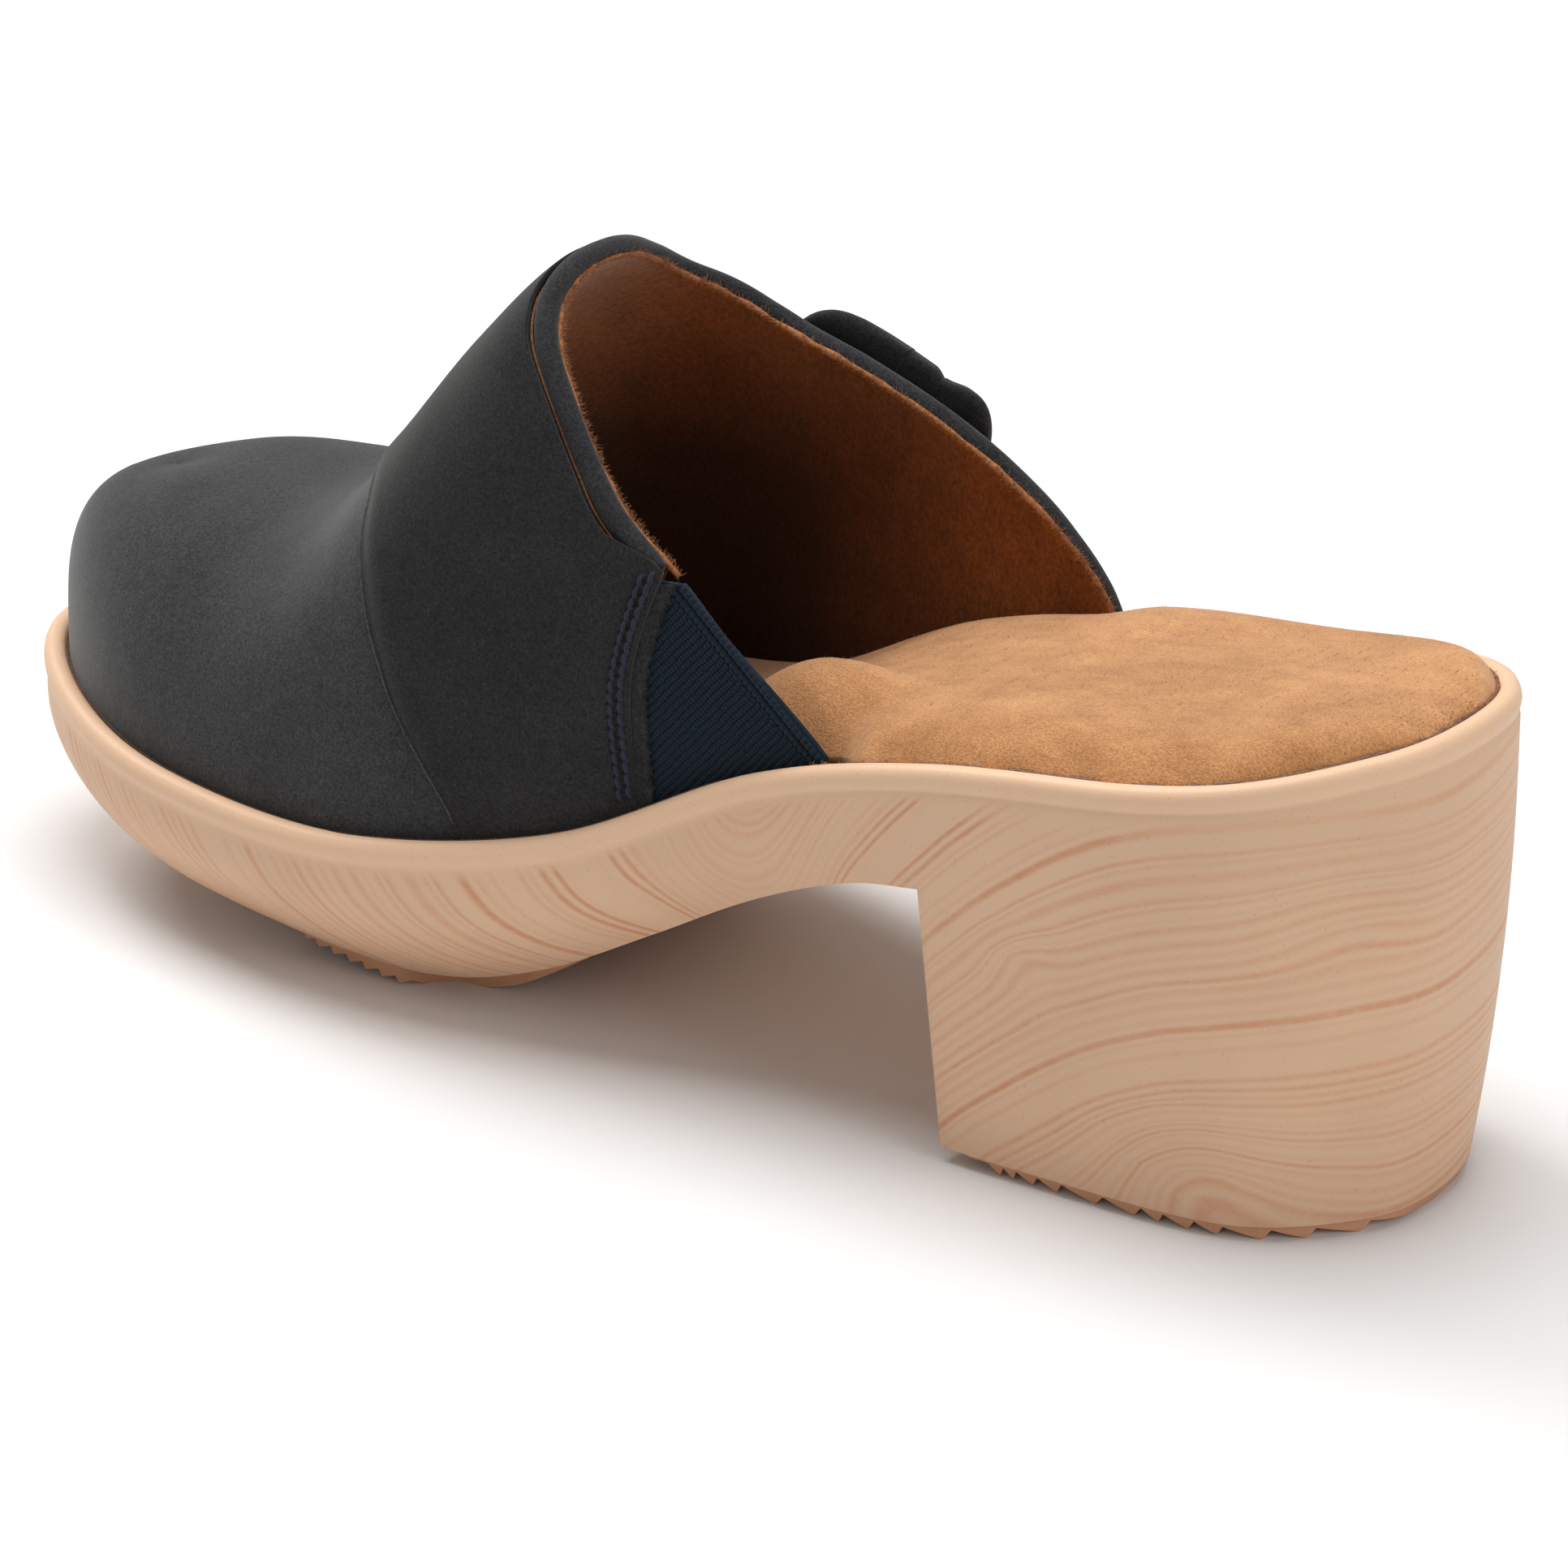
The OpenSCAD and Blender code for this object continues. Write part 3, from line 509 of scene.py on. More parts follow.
def tone(red, green, blue):
    """Linear colour from screen values of 0 to 255."""
    def linear(v):
        v /= 255
        return v / 12.92 if v <= 0.04045 else ((v + 0.055) / 1.055) ** 2.4
    return (linear(red), linear(green), linear(blue))


def scaled(colour, factor):
    return tuple(c * factor for c in colour)


def nubuck(name, colour, warm, sheen=0.2):
    p = Paint(name, 0.12, Sheen_Weight=sheen, Sheen_Roughness=0.45)
    p.shader.inputs["Sheen Tint"].default_value = (0.84, 0.84, 0.81, 1)
    cloud = p.noise(48, 5, 0.65)
    nap = p.noise(420, 3, 0.6)
    grain = p.noise(2300, 2, 0.7)
    base = p.ramp(cloud, (0.32, scaled(colour, 0.66)), (0.68, scaled(colour, 1.26)))
    base = p.mix(p.greys(nap, (0.35, 0), (0.75, 1)), base, warm)
    base = p.mix(0.8, base, p.greys(grain, (0.3, 0.16), (0.7, 0.8)), "OVERLAY")
    specks = p.greys(p.noise(1500, 1, 0.5), (0.66, 0), (0.76, 1))
    base = p.mix(p.math("MULTIPLY", specks, 0.35), base, scaled(warm, 2.2))
    rough = p.greys(nap, (0.2, 0.82), (0.8, 0.98))
    fine = p.bump(grain, 0.00012, 0.55)
    return p.done(base, rough, p.bump(nap, 0.00012, 0.35, fine))


def suede(name, colour, dark, stretch, grain_scale=1500, painted_shade_inside=False):
    p = Paint(name, 0.1, Sheen_Weight=0.45, Sheen_Roughness=0.4)
    p.shader.inputs["Sheen Tint"].default_value = (1.0, 0.86, 0.7, 1)
    combed = p.mapped(stretch, (0, 0, 0.5))
    cloud = p.noise(30, 5, 0.62, distortion=0.6)
    blotch = p.noise(140, 4, 0.6, combed)
    hair = p.noise(grain_scale, 3, 0.7, combed)
    base = p.ramp(cloud, (0.28, dark), (0.6, colour), (0.8, scaled(colour, 1.08)))
    base = p.mix(0.28, base, p.ramp(blotch, (0.35, dark), (0.62, scaled(colour, 1.12))))
    base = p.mix(0.8, base, p.greys(hair, (0.3, 0.24), (0.7, 0.74)), "OVERLAY")
    # painted shade: deep inside the shoe, towards the toe and towards the bottom, the colour is mixed towards
    # a near-black brown
    if painted_shade_inside:
        axes = p.tree.nodes.new("ShaderNodeSeparateXYZ")
        p.link(p.place, axes.inputs[0])
        forward = p.math("MULTIPLY_ADD", axes.outputs["X"], 26.0, 0.55, clamp=True)
        down = p.math("MULTIPLY_ADD", axes.outputs["Z"], -38.0, 3.6, clamp=True)
        shade = p.math("MULTIPLY", p.math("MULTIPLY", forward, down), 0.8)
        base = p.mix(shade, base, scaled(dark, 0.12))
    fine = p.bump(hair, 0.00025, 0.7)
    rough = p.greys(blotch, (0.2, 0.85), (0.8, 1))
    return p.done(base, rough, p.bump(blotch, 0.0004, 0.3, fine))


def woodlook(name, base_tone, band_tone, grain=True):
    p = Paint(name, 0.35)
    cloud = p.noise(26, 3, 0.5)
    speck = p.noise(2600, 1, 0.5)
    skin = p.noise(1500, 2, 0.6)
    base = p.ramp(cloud, (0.3, scaled(base_tone, 0.95)), (0.7, scaled(base_tone, 1.05)))
    if grain:
        line = p.attribute("grain")
        lip = p.attribute("lip")
        warp = p.noise(40, 2, 0.5)
        wobble = p.math("MULTIPLY_ADD", warp, 1.5, line)
        waves = p.math("MULTIPLY_ADD", p.ring_noise(wobble, 0.22), 6.0, p.math("MULTIPLY", wobble, 3.2))
        fine = p.math("SINE", waves)
        second = p.ring_noise(wobble, 0.38)
        group = p.ring_noise(wobble, 0.16)
        fade = p.noise(24, 2, 0.5)
        streak = p.noise(900, 2, 0.6, p.mapped((0.25, 1, 1), (0, 0.5, 0)))
        inked = p.math("MULTIPLY_ADD", fine, 0.5, 0.5)
        strong = p.math("MULTIPLY_ADD", second, 2.2, -0.5)
        cluster = p.math("MULTIPLY_ADD", group, 2.4, -0.55)
        amount = p.math("MULTIPLY", p.math("MULTIPLY", inked, strong, clamp=True), cluster, clamp=True)
        for share in (p.math("MULTIPLY_ADD", fade, 1.7, 0.1), p.math("MULTIPLY_ADD", streak, 0.9, 0.45),
                      p.math("SUBTRACT", 1.0, lip)):
            amount = p.math("MULTIPLY", amount, share)
        amount = p.math("MULTIPLY", p.math("MINIMUM", p.math("MAXIMUM", amount, 0.0), 1.0), 0.85)
        base = p.mix(amount, base, band_tone)
        base = p.mix(p.math("MULTIPLY", lip, 0.8), base, scaled(base_tone, 1.12))
    pits = p.greys(speck, (0.24, 0), (0.3, 1))
    base = p.mix(0.22, base, pits, "MULTIPLY")
    rough = p.greys(skin, (0.3, 0.42), (0.7, 0.6))
    tiny = p.bump(skin, 0.00006, 0.35)
    return p.done(base, rough, p.bump(p.noise(60, 2, 0.5), 0.0006, 0.12, tiny))


def cloth(name, colour, scale):
    p = Paint(name, 0.15, Sheen_Weight=0.1, Sheen_Roughness=0.5)
    yarn = p.noise(scale, 3, 0.6)
    patch = p.noise(90, 2, 0.5)
    base = p.ramp(yarn, (0.25, scaled(colour, 0.45)), (0.75, scaled(colour, 1.5)))
    base = p.mix(0.25, base, p.ramp(patch, (0.3, scaled(colour, 0.7)), (0.7, scaled(colour, 1.3))))
    rough = p.greys(patch, (0.2, 0.75), (0.8, 0.92))
    return p.done(base, rough, p.bump(yarn, 0.00012, 0.6))


def plain(name, colour, rough, metallic=0.0, scale=500, contrast=0.2):
    p = Paint(name, 0.4, Metallic=metallic)
    mottle = p.noise(scale, 4, 0.6)
    base = p.ramp(mottle, (0.3, scaled(colour, 1 - contrast)), (0.7, scaled(colour, 1 + contrast)))
    shine = p.greys(mottle, (0.2, rough - 0.06), (0.8, rough + 0.06))
    return p.done(base, shine, p.bump(mottle, 0.0001, 0.3))


CHARCOAL = tone(53, 53, 54)
STRAP_TONE = tone(39, 38, 38)
CUT_TONE = tone(74, 72, 71)
COLLAR_TONE = tone(44, 44, 46)
m_vamp = nubuck("nubuck_charcoal", CHARCOAL, scaled(CHARCOAL, 1.2), 0.3)
m_strap = nubuck("nubuck_strap", STRAP_TONE, scaled(STRAP_TONE, 1.22))
m_cut = nubuck("nubuck_cut_edge", CUT_TONE, scaled(CUT_TONE, 1.2))
m_collar = nubuck("nubuck_collar", COLLAR_TONE, scaled(COLLAR_TONE, 1.2))
m_footbed = suede("footbed_tan", tone(205, 150, 102), tone(164, 111, 68), (1, 2.2, 1), 2300)
# the lining carries painted shade deep inside the shoe
m_lining = suede("lining_tan", tone(142, 78, 28), tone(104, 54, 16), (1.6, 1, 1), 1000, painted_shade_inside=True)
m_fuzz = suede("raw_edge", tone(178, 118, 76), tone(132, 82, 50), (1, 1, 1), 1500)
m_raw = suede("strap_cut_edge", tone(156, 98, 64), tone(88, 56, 38), (1, 1, 1), 1500)
m_sole = woodlook("sole_woodlook", tone(217, 180, 148), tone(203, 140, 102))
m_tread = woodlook("tread_rubber", tone(204, 152, 116), tone(190, 132, 98), grain=False)
m_elastic = cloth("elastic_navy", tone(20, 33, 45), 2400)
m_thread = cloth("thread_navy", tone(44, 46, 60), 3000)
m_facing = nubuck("facing_dark", tone(34, 33, 35), tone(52, 50, 52))
# near-black colour of the needle holes: painted shade of the holes
m_hole_shade = plain("stitch_hole_shade", tone(14, 14, 16), 0.9)
# dark brown of the rim line: partly the fibres' own colour, partly painted shade of the groove
m_rim_fibres_and_shade = suede("rim_fibres_and_shade", tone(92, 66, 52), tone(52, 38, 32), (1, 1, 1), 1500)
m_glue = plain("glue_line", tone(112, 82, 64), 0.5, scale=1500, contrast=0.5)
m_foam = plain("foam", tone(222, 208, 178), 0.9, scale=1400, contrast=0.15)
m_gel = plain("heel_gel", tone(120, 160, 176), 0.45, scale=600, contrast=0.1)

# ---- sole ----
BREAST_STATION = float(station_at(BREAST_X, INNER))
BREAST_FOOT = float(station_at(BREAST_X - BREAST_SLOPE, INNER))
# Stations where the sole's rings have points, closest where the outline bends
COLUMNS = np.concatenate([
    np.linspace(0, 1.2, 26), np.linspace(1.25, BREAST_STATION - 0.06, 84), [BREAST_STATION, BREAST_FOOT],
    np.linspace(BREAST_FOOT + 0.06, 8, 46), np.linspace(8.04, LAST, 26),
])
IN_HEEL = COLUMNS > (BREAST_STATION + BREAST_FOOT) / 2
ARCH_DRAW = [[-55, 0.3], [-44, 2], [-20, 5], [0, 9], [20, 12.5], [60, 12], [100, 8], [128, 5]]
HEEL_DRAW = [[-128, 5], [-60, 3], [-55, 3]]
LIP_DROP = 4.6
# [inset, height] of the rim's section, from the wall over the lip and down into the recess
LIP = [(0.5, -4.0), (0.26, -3.3), (0.06, -2.6), (0, -1.9), (0.12, -1.2), (0.48, -0.55), (1.05, -0.15),
       (1.7, 0), (2.4, -0.06), (3.0, -0.3), (3.4, -0.75), (3.55, -1.4), (3.55, -RECESS)]


def both_sides(inner, outer):
    return np.vstack([inner, outer[-2:0:-1]])


def wall_ring(share):
    """Ring round the wall at a share of its height; a shallow groove runs below the lip."""
    sides = []
    for side in (INNER, OUTER):
        x = outline_point(COLUMNS, side)[:, 0]
        draw = np.where(IN_HEEL, curve(x, HEEL_DRAW), curve(x, ARCH_DRAW))
        groove = (0.15 + 0.3 * ease((x + 60) / 60)) * ease((share - 0.6) / 0.4)
        flat = inset_point(COLUMNS, side, draw * (1 - share) ** 2.2 + groove)
        low = np.where(IN_HEEL, HEEL_FOOT_Z, curve(x, UNDERSIDE))
        sides.append(np.column_stack([flat, low + (rim_z(x) - LIP_DROP - low) * share]))
    return both_sides(*sides)


def lip_ring(inset, lift):
    sides = []
    for side in (INNER, OUTER):
        flat = inset_point(COLUMNS, side, inset)
        sides.append(np.column_stack([flat, rim_z(outline_point(COLUMNS, side)[:, 0]) + lift]))
    return both_sides(*sides)


def strip_cap(start, count, flip):
    """Faces across a ring, from its one side to the other."""
    half = count // 2
    faces = []
    for i in range(half):
        loop = [start + i, start + i + 1, start + (count - i - 1) % count, start + (count - i) % count]
        loop = list(dict.fromkeys(loop))
        faces.append(tuple(loop[::-1] if flip else loop))
    return faces


def grain_field(p):
    """Where the printed wood grain lies: arcs on the heel, slanting lines that bow round the toe."""
    x, y, z = p.T
    heel = z + 0.0085 * (x + 118) ** 2 + 0.1 * y + 0.7 * np.sin(x / 15 + z / 19)
    for kx, kz, wide, high, lift in ((-101, 10, 14, 10, -12), (-73, 37, 6, 4, -4), (-121, 52, 9, 7, -4)):
        heel += lift * np.exp(-((x - kx) / wide) ** 2 - ((z - kz) / high) ** 2)
    fore = 53 - 0.8 * x + 0.58 * z + 0.4 * np.abs(y + 6) + 1.2 * np.sin(x / 25 - z / 15)
    share = ease((x + 42) / 34)
    return heel * (1 - share) + fore * share


def mark(mesh, name, domain, values):
    mesh.attributes.new(name, "FLOAT", domain).data.foreach_set("value", values)


def make_sole():
    shares = [0, 0.02, 0.06, 0.12, 0.2, 0.3, 0.4, 0.5, 0.6, 0.7, 0.79, 0.87, 0.94, 1]
    rings = [wall_ring(s) for s in shares] + [lip_ring(*r) for r in LIP]
    count = len(rings[0])
    points = np.concatenate(rings)
    faces = grid_faces(len(rings), count, wrap=True)
    faces += strip_cap(0, count, True)
    faces += strip_cap((len(rings) - 1) * count, count, False)
    made = mesh_object("sole_unit_body", points, faces)
    mesh = made.data
    mark(mesh, "grain", "POINT", grain_field(points))
    lip = np.zeros((len(rings), count))
    lip[len(shares) - 1] = 0.5
    lip[len(shares):] = 1
    mark(mesh, "lip", "POINT", lip.ravel())
    a = int(np.searchsorted(COLUMNS, BREAST_STATION))
    folds = {frozenset((a, count - a)), frozenset((a + 1, count - a - 1))}
    weights = np.zeros(len(mesh.edges))
    for edge in mesh.edges:
        v, w = edge.vertices
        if v < count and w < count and (abs(v - w) in (1, count - 1) or frozenset((v, w)) in folds):
            weights[edge.index] = 1
    mark(mesh, "bevel_weight_edge", "EDGE", weights)
    bevel = made.modifiers.new("round_edges", "BEVEL")
    bevel.limit_method = "WEIGHT"
    bevel.width = 0.9 * MM
    bevel.segments = 3
    piece(made, "sole_unit", m_sole)


make_sole()


TOOTH_LEAN = 0.82


def edge_y(x, side, inset):
    return inset_point(station_at(x, side, inset), side, inset)[..., 1]


def make_tread(name, x, inset, low, top, node):
    """Tread plate over the given x; low and top give its teeth and its upper face."""
    inner = edge_y(x, INNER, inset)
    outer = edge_y(x, OUTER, inset)
    across = np.concatenate([[-1, -0.985, -0.95], np.linspace(-0.9, 0.9, 27), [0.95, 0.985, 1]])
    y = outer[:, None] + (inner - outer)[:, None] * (across[None, :] + 1) / 2
    xx = x[:, None] + 0 * y
    bottom = np.stack([xx, y, low(xx, y)], axis=-1)
    ceiling = np.stack([xx, y, np.maximum(top(xx), bottom[..., 2] + 0.2)], axis=-1)
    made = shell(name, bottom, ceiling, bulge=0.0)
    made.data.set_sharp_from_angle(angle=math.radians(35))
    piece(made, node, m_tread)


def saw(t, depth):
    t = t % 1
    return np.where(t < TOOTH_LEAN, depth * (1 - t / TOOTH_LEAN), depth * (t - TOOTH_LEAN) / (1 - TOOTH_LEAN))


def ball_low(x, y):
    base = curve(x, [[12, 10.6], [20, 5.4], [27, 1.5], [32, 0.1], [40, 0.0], [50, 0.9], [66, 2.6]])
    chevron = x + 0.9 * np.abs((y / 7) % 2 - 1)
    cut = saw((chevron - 41) / 3.2, 1.1) * ease((x - 40.5) / 1.5)
    return np.maximum(base + cut, 0.02)


def ball_inset(x):
    return 21 - 6 * ease((x - 36) / 8) + 9 * ease((x - 60) / 6) ** 3


# Where each tooth of the heel's tread starts, from its front edge backwards
HEEL_TEETH = np.cumsum([0, 2.6, 2.2, 3.6, 4.2, 7.2, 6.4, 3.6, 5.0, 4.4, 6.8, 5.4, 6.0, 5.0])


def heel_low(x, y):
    back = -60.5 - (x + 0.16 * y)
    i = np.clip(np.searchsorted(HEEL_TEETH, back) - 1, 0, len(HEEL_TEETH) - 2)
    t = np.clip((back - HEEL_TEETH[i]) / (HEEL_TEETH[i + 1] - HEEL_TEETH[i]), 0, 0.999)
    return saw(t, 1.5)


x_ball = np.arange(12, 66.01, 0.2)
make_tread("forefoot_tread_body", x_ball, ball_inset(x_ball), ball_low,
           lambda x: curve(x, UNDERSIDE) + 0.1, "forefoot_tread")
x_heel = np.concatenate([[-121.6, -121.3, -120.8], np.arange(-120.2, -61.6, 0.2)])
make_tread("heel_tread_body", x_heel, curve(x_heel, DRAW_IN) + 1.3, heel_low,
           lambda x: 0 * x + 2.6, "heel_tread")

# ---- footbed ----
# [x, how far the footbed's edge lies inside the outline]
EDGE_INNER = [[-128, 3.5], [-42, 3.5], [-37, 7.8], [128, 7.8]]
EDGE_OUTER = [[-128, 3.5], [-54, 3.5], [-48, 7.8], [128, 7.8]]
CROWN = 6.3
# Centre, radii and height of the pads under the cover
HEEL_CENTRE = (-88, 0)
ARCH_PAD = ((-21, 16.5), (24, 13), 7.0)
HEEL_PAD = (HEEL_CENTRE, (28, 22), 1.8)


def lump(x, y, centre, radii):
    r = np.hypot((x - centre[0]) / radii[0], (y - centre[1]) / radii[1])
    return np.where(r < 1, (1 - r * r) ** 2, 0)


def foam_top(x, y, v):
    """Height of the foam; v runs from -1 at its outer edge to 1 at its inner edge."""
    heel_fall = 1 - (np.maximum(0, HEEL_CENTRE[0] - x) / 37) ** 6
    crown = CROWN * (1 - np.abs(v) ** 8) * heel_fall
    return rim_z(x) - 1.9 + crown - 1.4 * lump(x, y, HEEL_CENTRE, (40, 30))


def cover_top(x, y, v):
    top = foam_top(x, y, v)
    for centre, radii, height in (ARCH_PAD, HEEL_PAD):
        top = top + height * lump(x, y, centre, radii)
    puff = 0.22 * np.sin(x / 9.0 + np.sin(y / 7.0)) * np.sin(y / 8.0 + 1.0) * (1 - np.abs(v) ** 4)
    return top + 1.4 + puff


def bed_grid(z, shrink, rows, columns, rear):
    s = np.linspace(0.3, LAST - rear, rows)
    v = np.sin(np.linspace(-math.pi / 2, math.pi / 2, columns))
    x0 = outline_point(s, INNER)[:, 0]
    inner_in = np.interp(x0, *np.array(EDGE_INNER).T) + shrink
    outer_in = np.interp(x0, *np.array(EDGE_OUTER).T) + shrink
    inner = inset_point(s, INNER, inner_in)[:, None, :]
    outer = inset_point(s, OUTER, outer_in)[:, None, :]
    flat = outer + (inner - outer) * (v[None, :, None] + 1) / 2
    x, y = flat[..., 0], flat[..., 1]
    return np.stack([x, y, z(x, y, v[None, :] + 0 * x)], axis=-1)


def flipped(grid):
    return grid[:, ::-1]


cover = shell("footbed_cover_sock",
              flipped(bed_grid(cover_top, 0, 170, 61, 0.06)),
              flipped(bed_grid(lambda x, y, v: cover_top(x, y, v) - 1.0, 0, 170, 61, 0.06)))
piece(cover, "footbed_cover", m_footbed)
nap_roots = bed_grid(cover_top, 0.5, 90, 31, 0.22).reshape(-1, 3)
nap_ways = np.tile([-0.3, 0.1, 1.0], (len(nap_roots), 1))
nap = fibres("footbed_nap", nap_roots, nap_ways, 6000, 0.55, 0.035)
piece(nap, "footbed_cover", m_footbed)
foam = shell("footbed_foam_body",
             flipped(bed_grid(lambda x, y, v: foam_top(x, y, v) - 0.5, 1.2, 80, 41, 0.3)),
             flipped(bed_grid(lambda x, y, v: rim_z(x) - RECESS + 4.3, 1.2, 80, 41, 0.3)))
piece(foam, "footbed_foam", m_foam)


def make_pad(name, spec, node, material):
    """Lens of soft material on top of the foam."""
    (cx, cy), (rx, ry), height = spec
    share = np.linspace(0.02, 0.92, 16)[:, None]
    turn = np.linspace(0, 2 * math.pi, 72, endpoint=False)[None, :]
    x = cx + rx * share * np.cos(turn)
    y = cy + ry * share * np.sin(turn)
    inner = edge_y(x.ravel(), INNER, np.interp(x.ravel(), *np.array(EDGE_INNER).T)).reshape(x.shape)
    outer = edge_y(x.ravel(), OUTER, np.interp(x.ravel(), *np.array(EDGE_OUTER).T)).reshape(x.shape)
    v = np.clip(2 * (y - outer) / (inner - outer) - 1, -1, 1)
    base = foam_top(x, y, v) - 0.05
    low = np.stack([x, y, base], axis=-1)
    high = np.stack([x, y, base + 0.1 + height * 0.96 * (1 - share**2) ** 2], axis=-1)
    rings = np.concatenate([low, high[::-1]])
    piece(sweep(name, rings), node, material)


make_pad("arch_pad_lens", ARCH_PAD, "arch_pad", m_foam)
make_pad("heel_pad_lens", HEEL_PAD, "heel_pad", m_gel)


def bed_edge_line(inset, lift):
    """Line along the footbed's edge round the heel."""
    s_in = np.linspace(float(station_at(-34, INNER)), LAST, 240)
    s_out = np.linspace(LAST, float(station_at(-46, OUTER)), 240)[1:]
    flat = np.vstack([inset_point(s_in, INNER, inset), inset_point(s_out, OUTER, inset)])
    x0 = np.concatenate([outline_point(s_in, INNER)[:, 0], outline_point(s_out, OUTER)[:, 0]])
    return np.column_stack([flat, rim_z(x0) + lift])


# glue and torn fibres between the footbed and the rim
line = bed_edge_line(3.5, -0.7)
line[:, 2] += wandering(len(line), 4, 0.12)
up = np.tile([0.0, 0.0, 1.0], (len(line), 1))
glue = sweep("footbed_glue_line", tube_rings(line, up, 0.42, 0.42, 8))
piece(glue, "footbed_cover", m_glue)
centre_way = unit(-line * [1, 1, 0])
torn = fibres("footbed_edge_fibres", line + [0, 0, 0.3], up * 0.8 + centre_way * 0.4, 1100, 0.8, 0.05)
piece(torn, "footbed_cover", m_footbed)

# ---- upper ----
ANGLES = arch_angles(131)


def vamp_rear(a):
    return rear_edge(a, GORE_UNDERLAP + 7, COLLAR_BEAD)


vamp = shell("vamp_nubuck",
             toe_grid(vamp_rear, 96, level(0), ANGLES),
             toe_grid(vamp_rear, 96, level(VAMP_THICK), ANGLES))
piece(vamp, "vamp", m_vamp)

LINING_ANGLES = arch_angles(91)


def lining_split(a):
    """Base x of the seam between the toe's lining and the strap's lining."""
    return STRAP_LINE + 8 * np.sin(np.radians(a))


toe_lining = shell("vamp_lining_suede",
                   toe_grid(lining_split, 50, level(LINING_DEPTH), LINING_ANGLES),
                   toe_grid(lining_split, 50, level(LINING_DEPTH + LINING_THICK), LINING_ANGLES))
piece(toe_lining, "vamp_lining", m_lining)


def strap_lining_depth(r, a):
    return LINING_DEPTH - 0.25 * ease((r - 0.85) / 0.15)


def strap_lining_grid(depth):
    return layer_grid(LINING_ANGLES, lambda a: lining_split(a) - 0.3, lambda a: rear_edge(a, 2, 0.5),
                      np.linspace(0, 1, 46), depth)


instep_lining = shell("strap_lining_suede",
                      strap_lining_grid(strap_lining_depth),
                      strap_lining_grid(lambda r, a: strap_lining_depth(r, a) + LINING_THICK))
piece(instep_lining, "strap_lining", m_lining)


def stand_off(a):
    """How far the strap stands off the vamp: 0 at the rim, 1 over the instep."""
    return ease(np.minimum(a, 180 - a) / 14)


def strap_top(r, a):
    full = 0.8 + 0.7 * stand_off(a)
    edge = ease(r / 0.07)
    return -(0.62 + (full - 0.62) * edge)


def strap_under(r, a):
    return -0.12 - 0.18 * stand_off(a) * ease(r / 0.07)


STRAP_SHARES = np.concatenate([
    [0, 0.006, 0.015, 0.03, 0.05, 0.08], np.linspace(0.11, 0.97, 56), [0.98, 0.99, 0.996, 1],
])


def strap_grid(depth):
    return layer_grid(ANGLES, lambda a: curve(a, STRAP_FRONT), lambda a: rear_edge(a, 0, STRAP_SETBACK),
                      STRAP_SHARES, depth)


strap = shell("strap_nubuck", strap_grid(strap_top), strap_grid(strap_under), bulge=0.2)
piece(strap, "strap_overlay", m_strap)


def line_on_upper(start, end, count, x_of, depth):
    """Angles, points and outward directions along a line across the upper."""
    a = np.linspace(start, end, count)
    depths = np.zeros(count) + depth
    return a, surface_at(x_of(a), a, depths), surface_normal(x_of(a), a, depths)


# the strap's cut front edge, a thin paler line
a, line, out = line_on_upper(1, 179, 420, lambda t: curve(t, STRAP_FRONT) + 0.05, -0.6)
cut_edge = sweep("strap_front_edge", tube_rings(line, out, 0.14, 0.2, 8))
piece(cut_edge, "strap_overlay", m_cut)

# raw edge of the strap beside the collar, with tan fibres
a, line, out = line_on_upper(33, 176, 300, lambda t: inside_collar(t, STRAP_SETBACK - 0.5), -0.1)
raw = sweep("strap_raw_edge", tube_rings(line, out, 0.17, 0.17, 8))
piece(raw, "strap_overlay", m_raw)
raw_hairs = fibres("strap_edge_fibres", line, out * 0.9, 1300, 0.4, 0.045)
piece(raw_hairs, "strap_overlay", m_raw)

# rolled collar
a, line, out = line_on_upper(GORE_ANGLE - 0.5, 180, 260, lambda t: inside_collar(t, 1.85), 0.9)
roll_end = ease((a - a[0]) / 1.2)
roll_wide = 1.8 * (0.8 + 0.2 * roll_end)
roll_thick = 1.75 * (0.75 + 0.25 * roll_end)
collar = sweep("collar_roll", tube_rings(line, out, roll_wide, roll_thick, 28))
piece(collar, "collar_binding", m_collar)

# brushed edge of the lining along the collar
a, line, out = line_on_upper(GORE_ANGLE - 0.5, 177, 300, lambda t: inside_collar(t, 0.45), 2.4)
ragged = 0.44 + 0.1 * wandering(len(line), 3, 1)
lip_edge = sweep("lining_edge", tube_rings(line, out, ragged, ragged, 10))
piece(lip_edge, "strap_lining", m_fuzz)
rear_way = unit(np.cross(np.gradient(line, axis=0), out))
rear_way *= np.sign((rear_way * [-1, 0, 0.2]).sum(axis=1, keepdims=True))
fluff = fibres("lining_edge_fibres", line, rear_way * 0.7 - out * 0.35, 4600, 1.25, 0.055)
piece(fluff, "strap_lining", m_fuzz)

# fibrous line where the upper goes down into the rim; its dark brown colour is partly painted shade of the
# groove between upper and rim
s_in = np.linspace(0.12, float(station_at(-20, INNER)), 260)
s_out = np.linspace(0.12, float(station_at(-38, OUTER)), 260)
for side, s_run in ((INNER, s_in), (OUTER, s_out)):
    x = outline_point(s_run, side)[:, 0]
    under_strap = ease((50 - x) / 6)
    flat = inset_point(s_run, side, 3.75 - 1.25 * under_strap)
    line = np.column_stack([flat, rim_z(x) - 0.85 + 0.65 * under_strap])
    up = np.tile([0.0, 0.0, 1.0], (len(line), 1))
    label = "inner" if side == INNER else "outer"
    seam = sweep(f"upper_rim_line_{label}", tube_rings(line, up, 0.24, 0.24, 8))
    piece(seam, "vamp", m_rim_fibres_and_shade)
    lint = fibres(f"upper_rim_fibres_{label}", line, up + chance.normal(0, 0.1, 3), 450, 0.5, 0.04)
    piece(lint, "vamp", m_rim_fibres_and_shade)

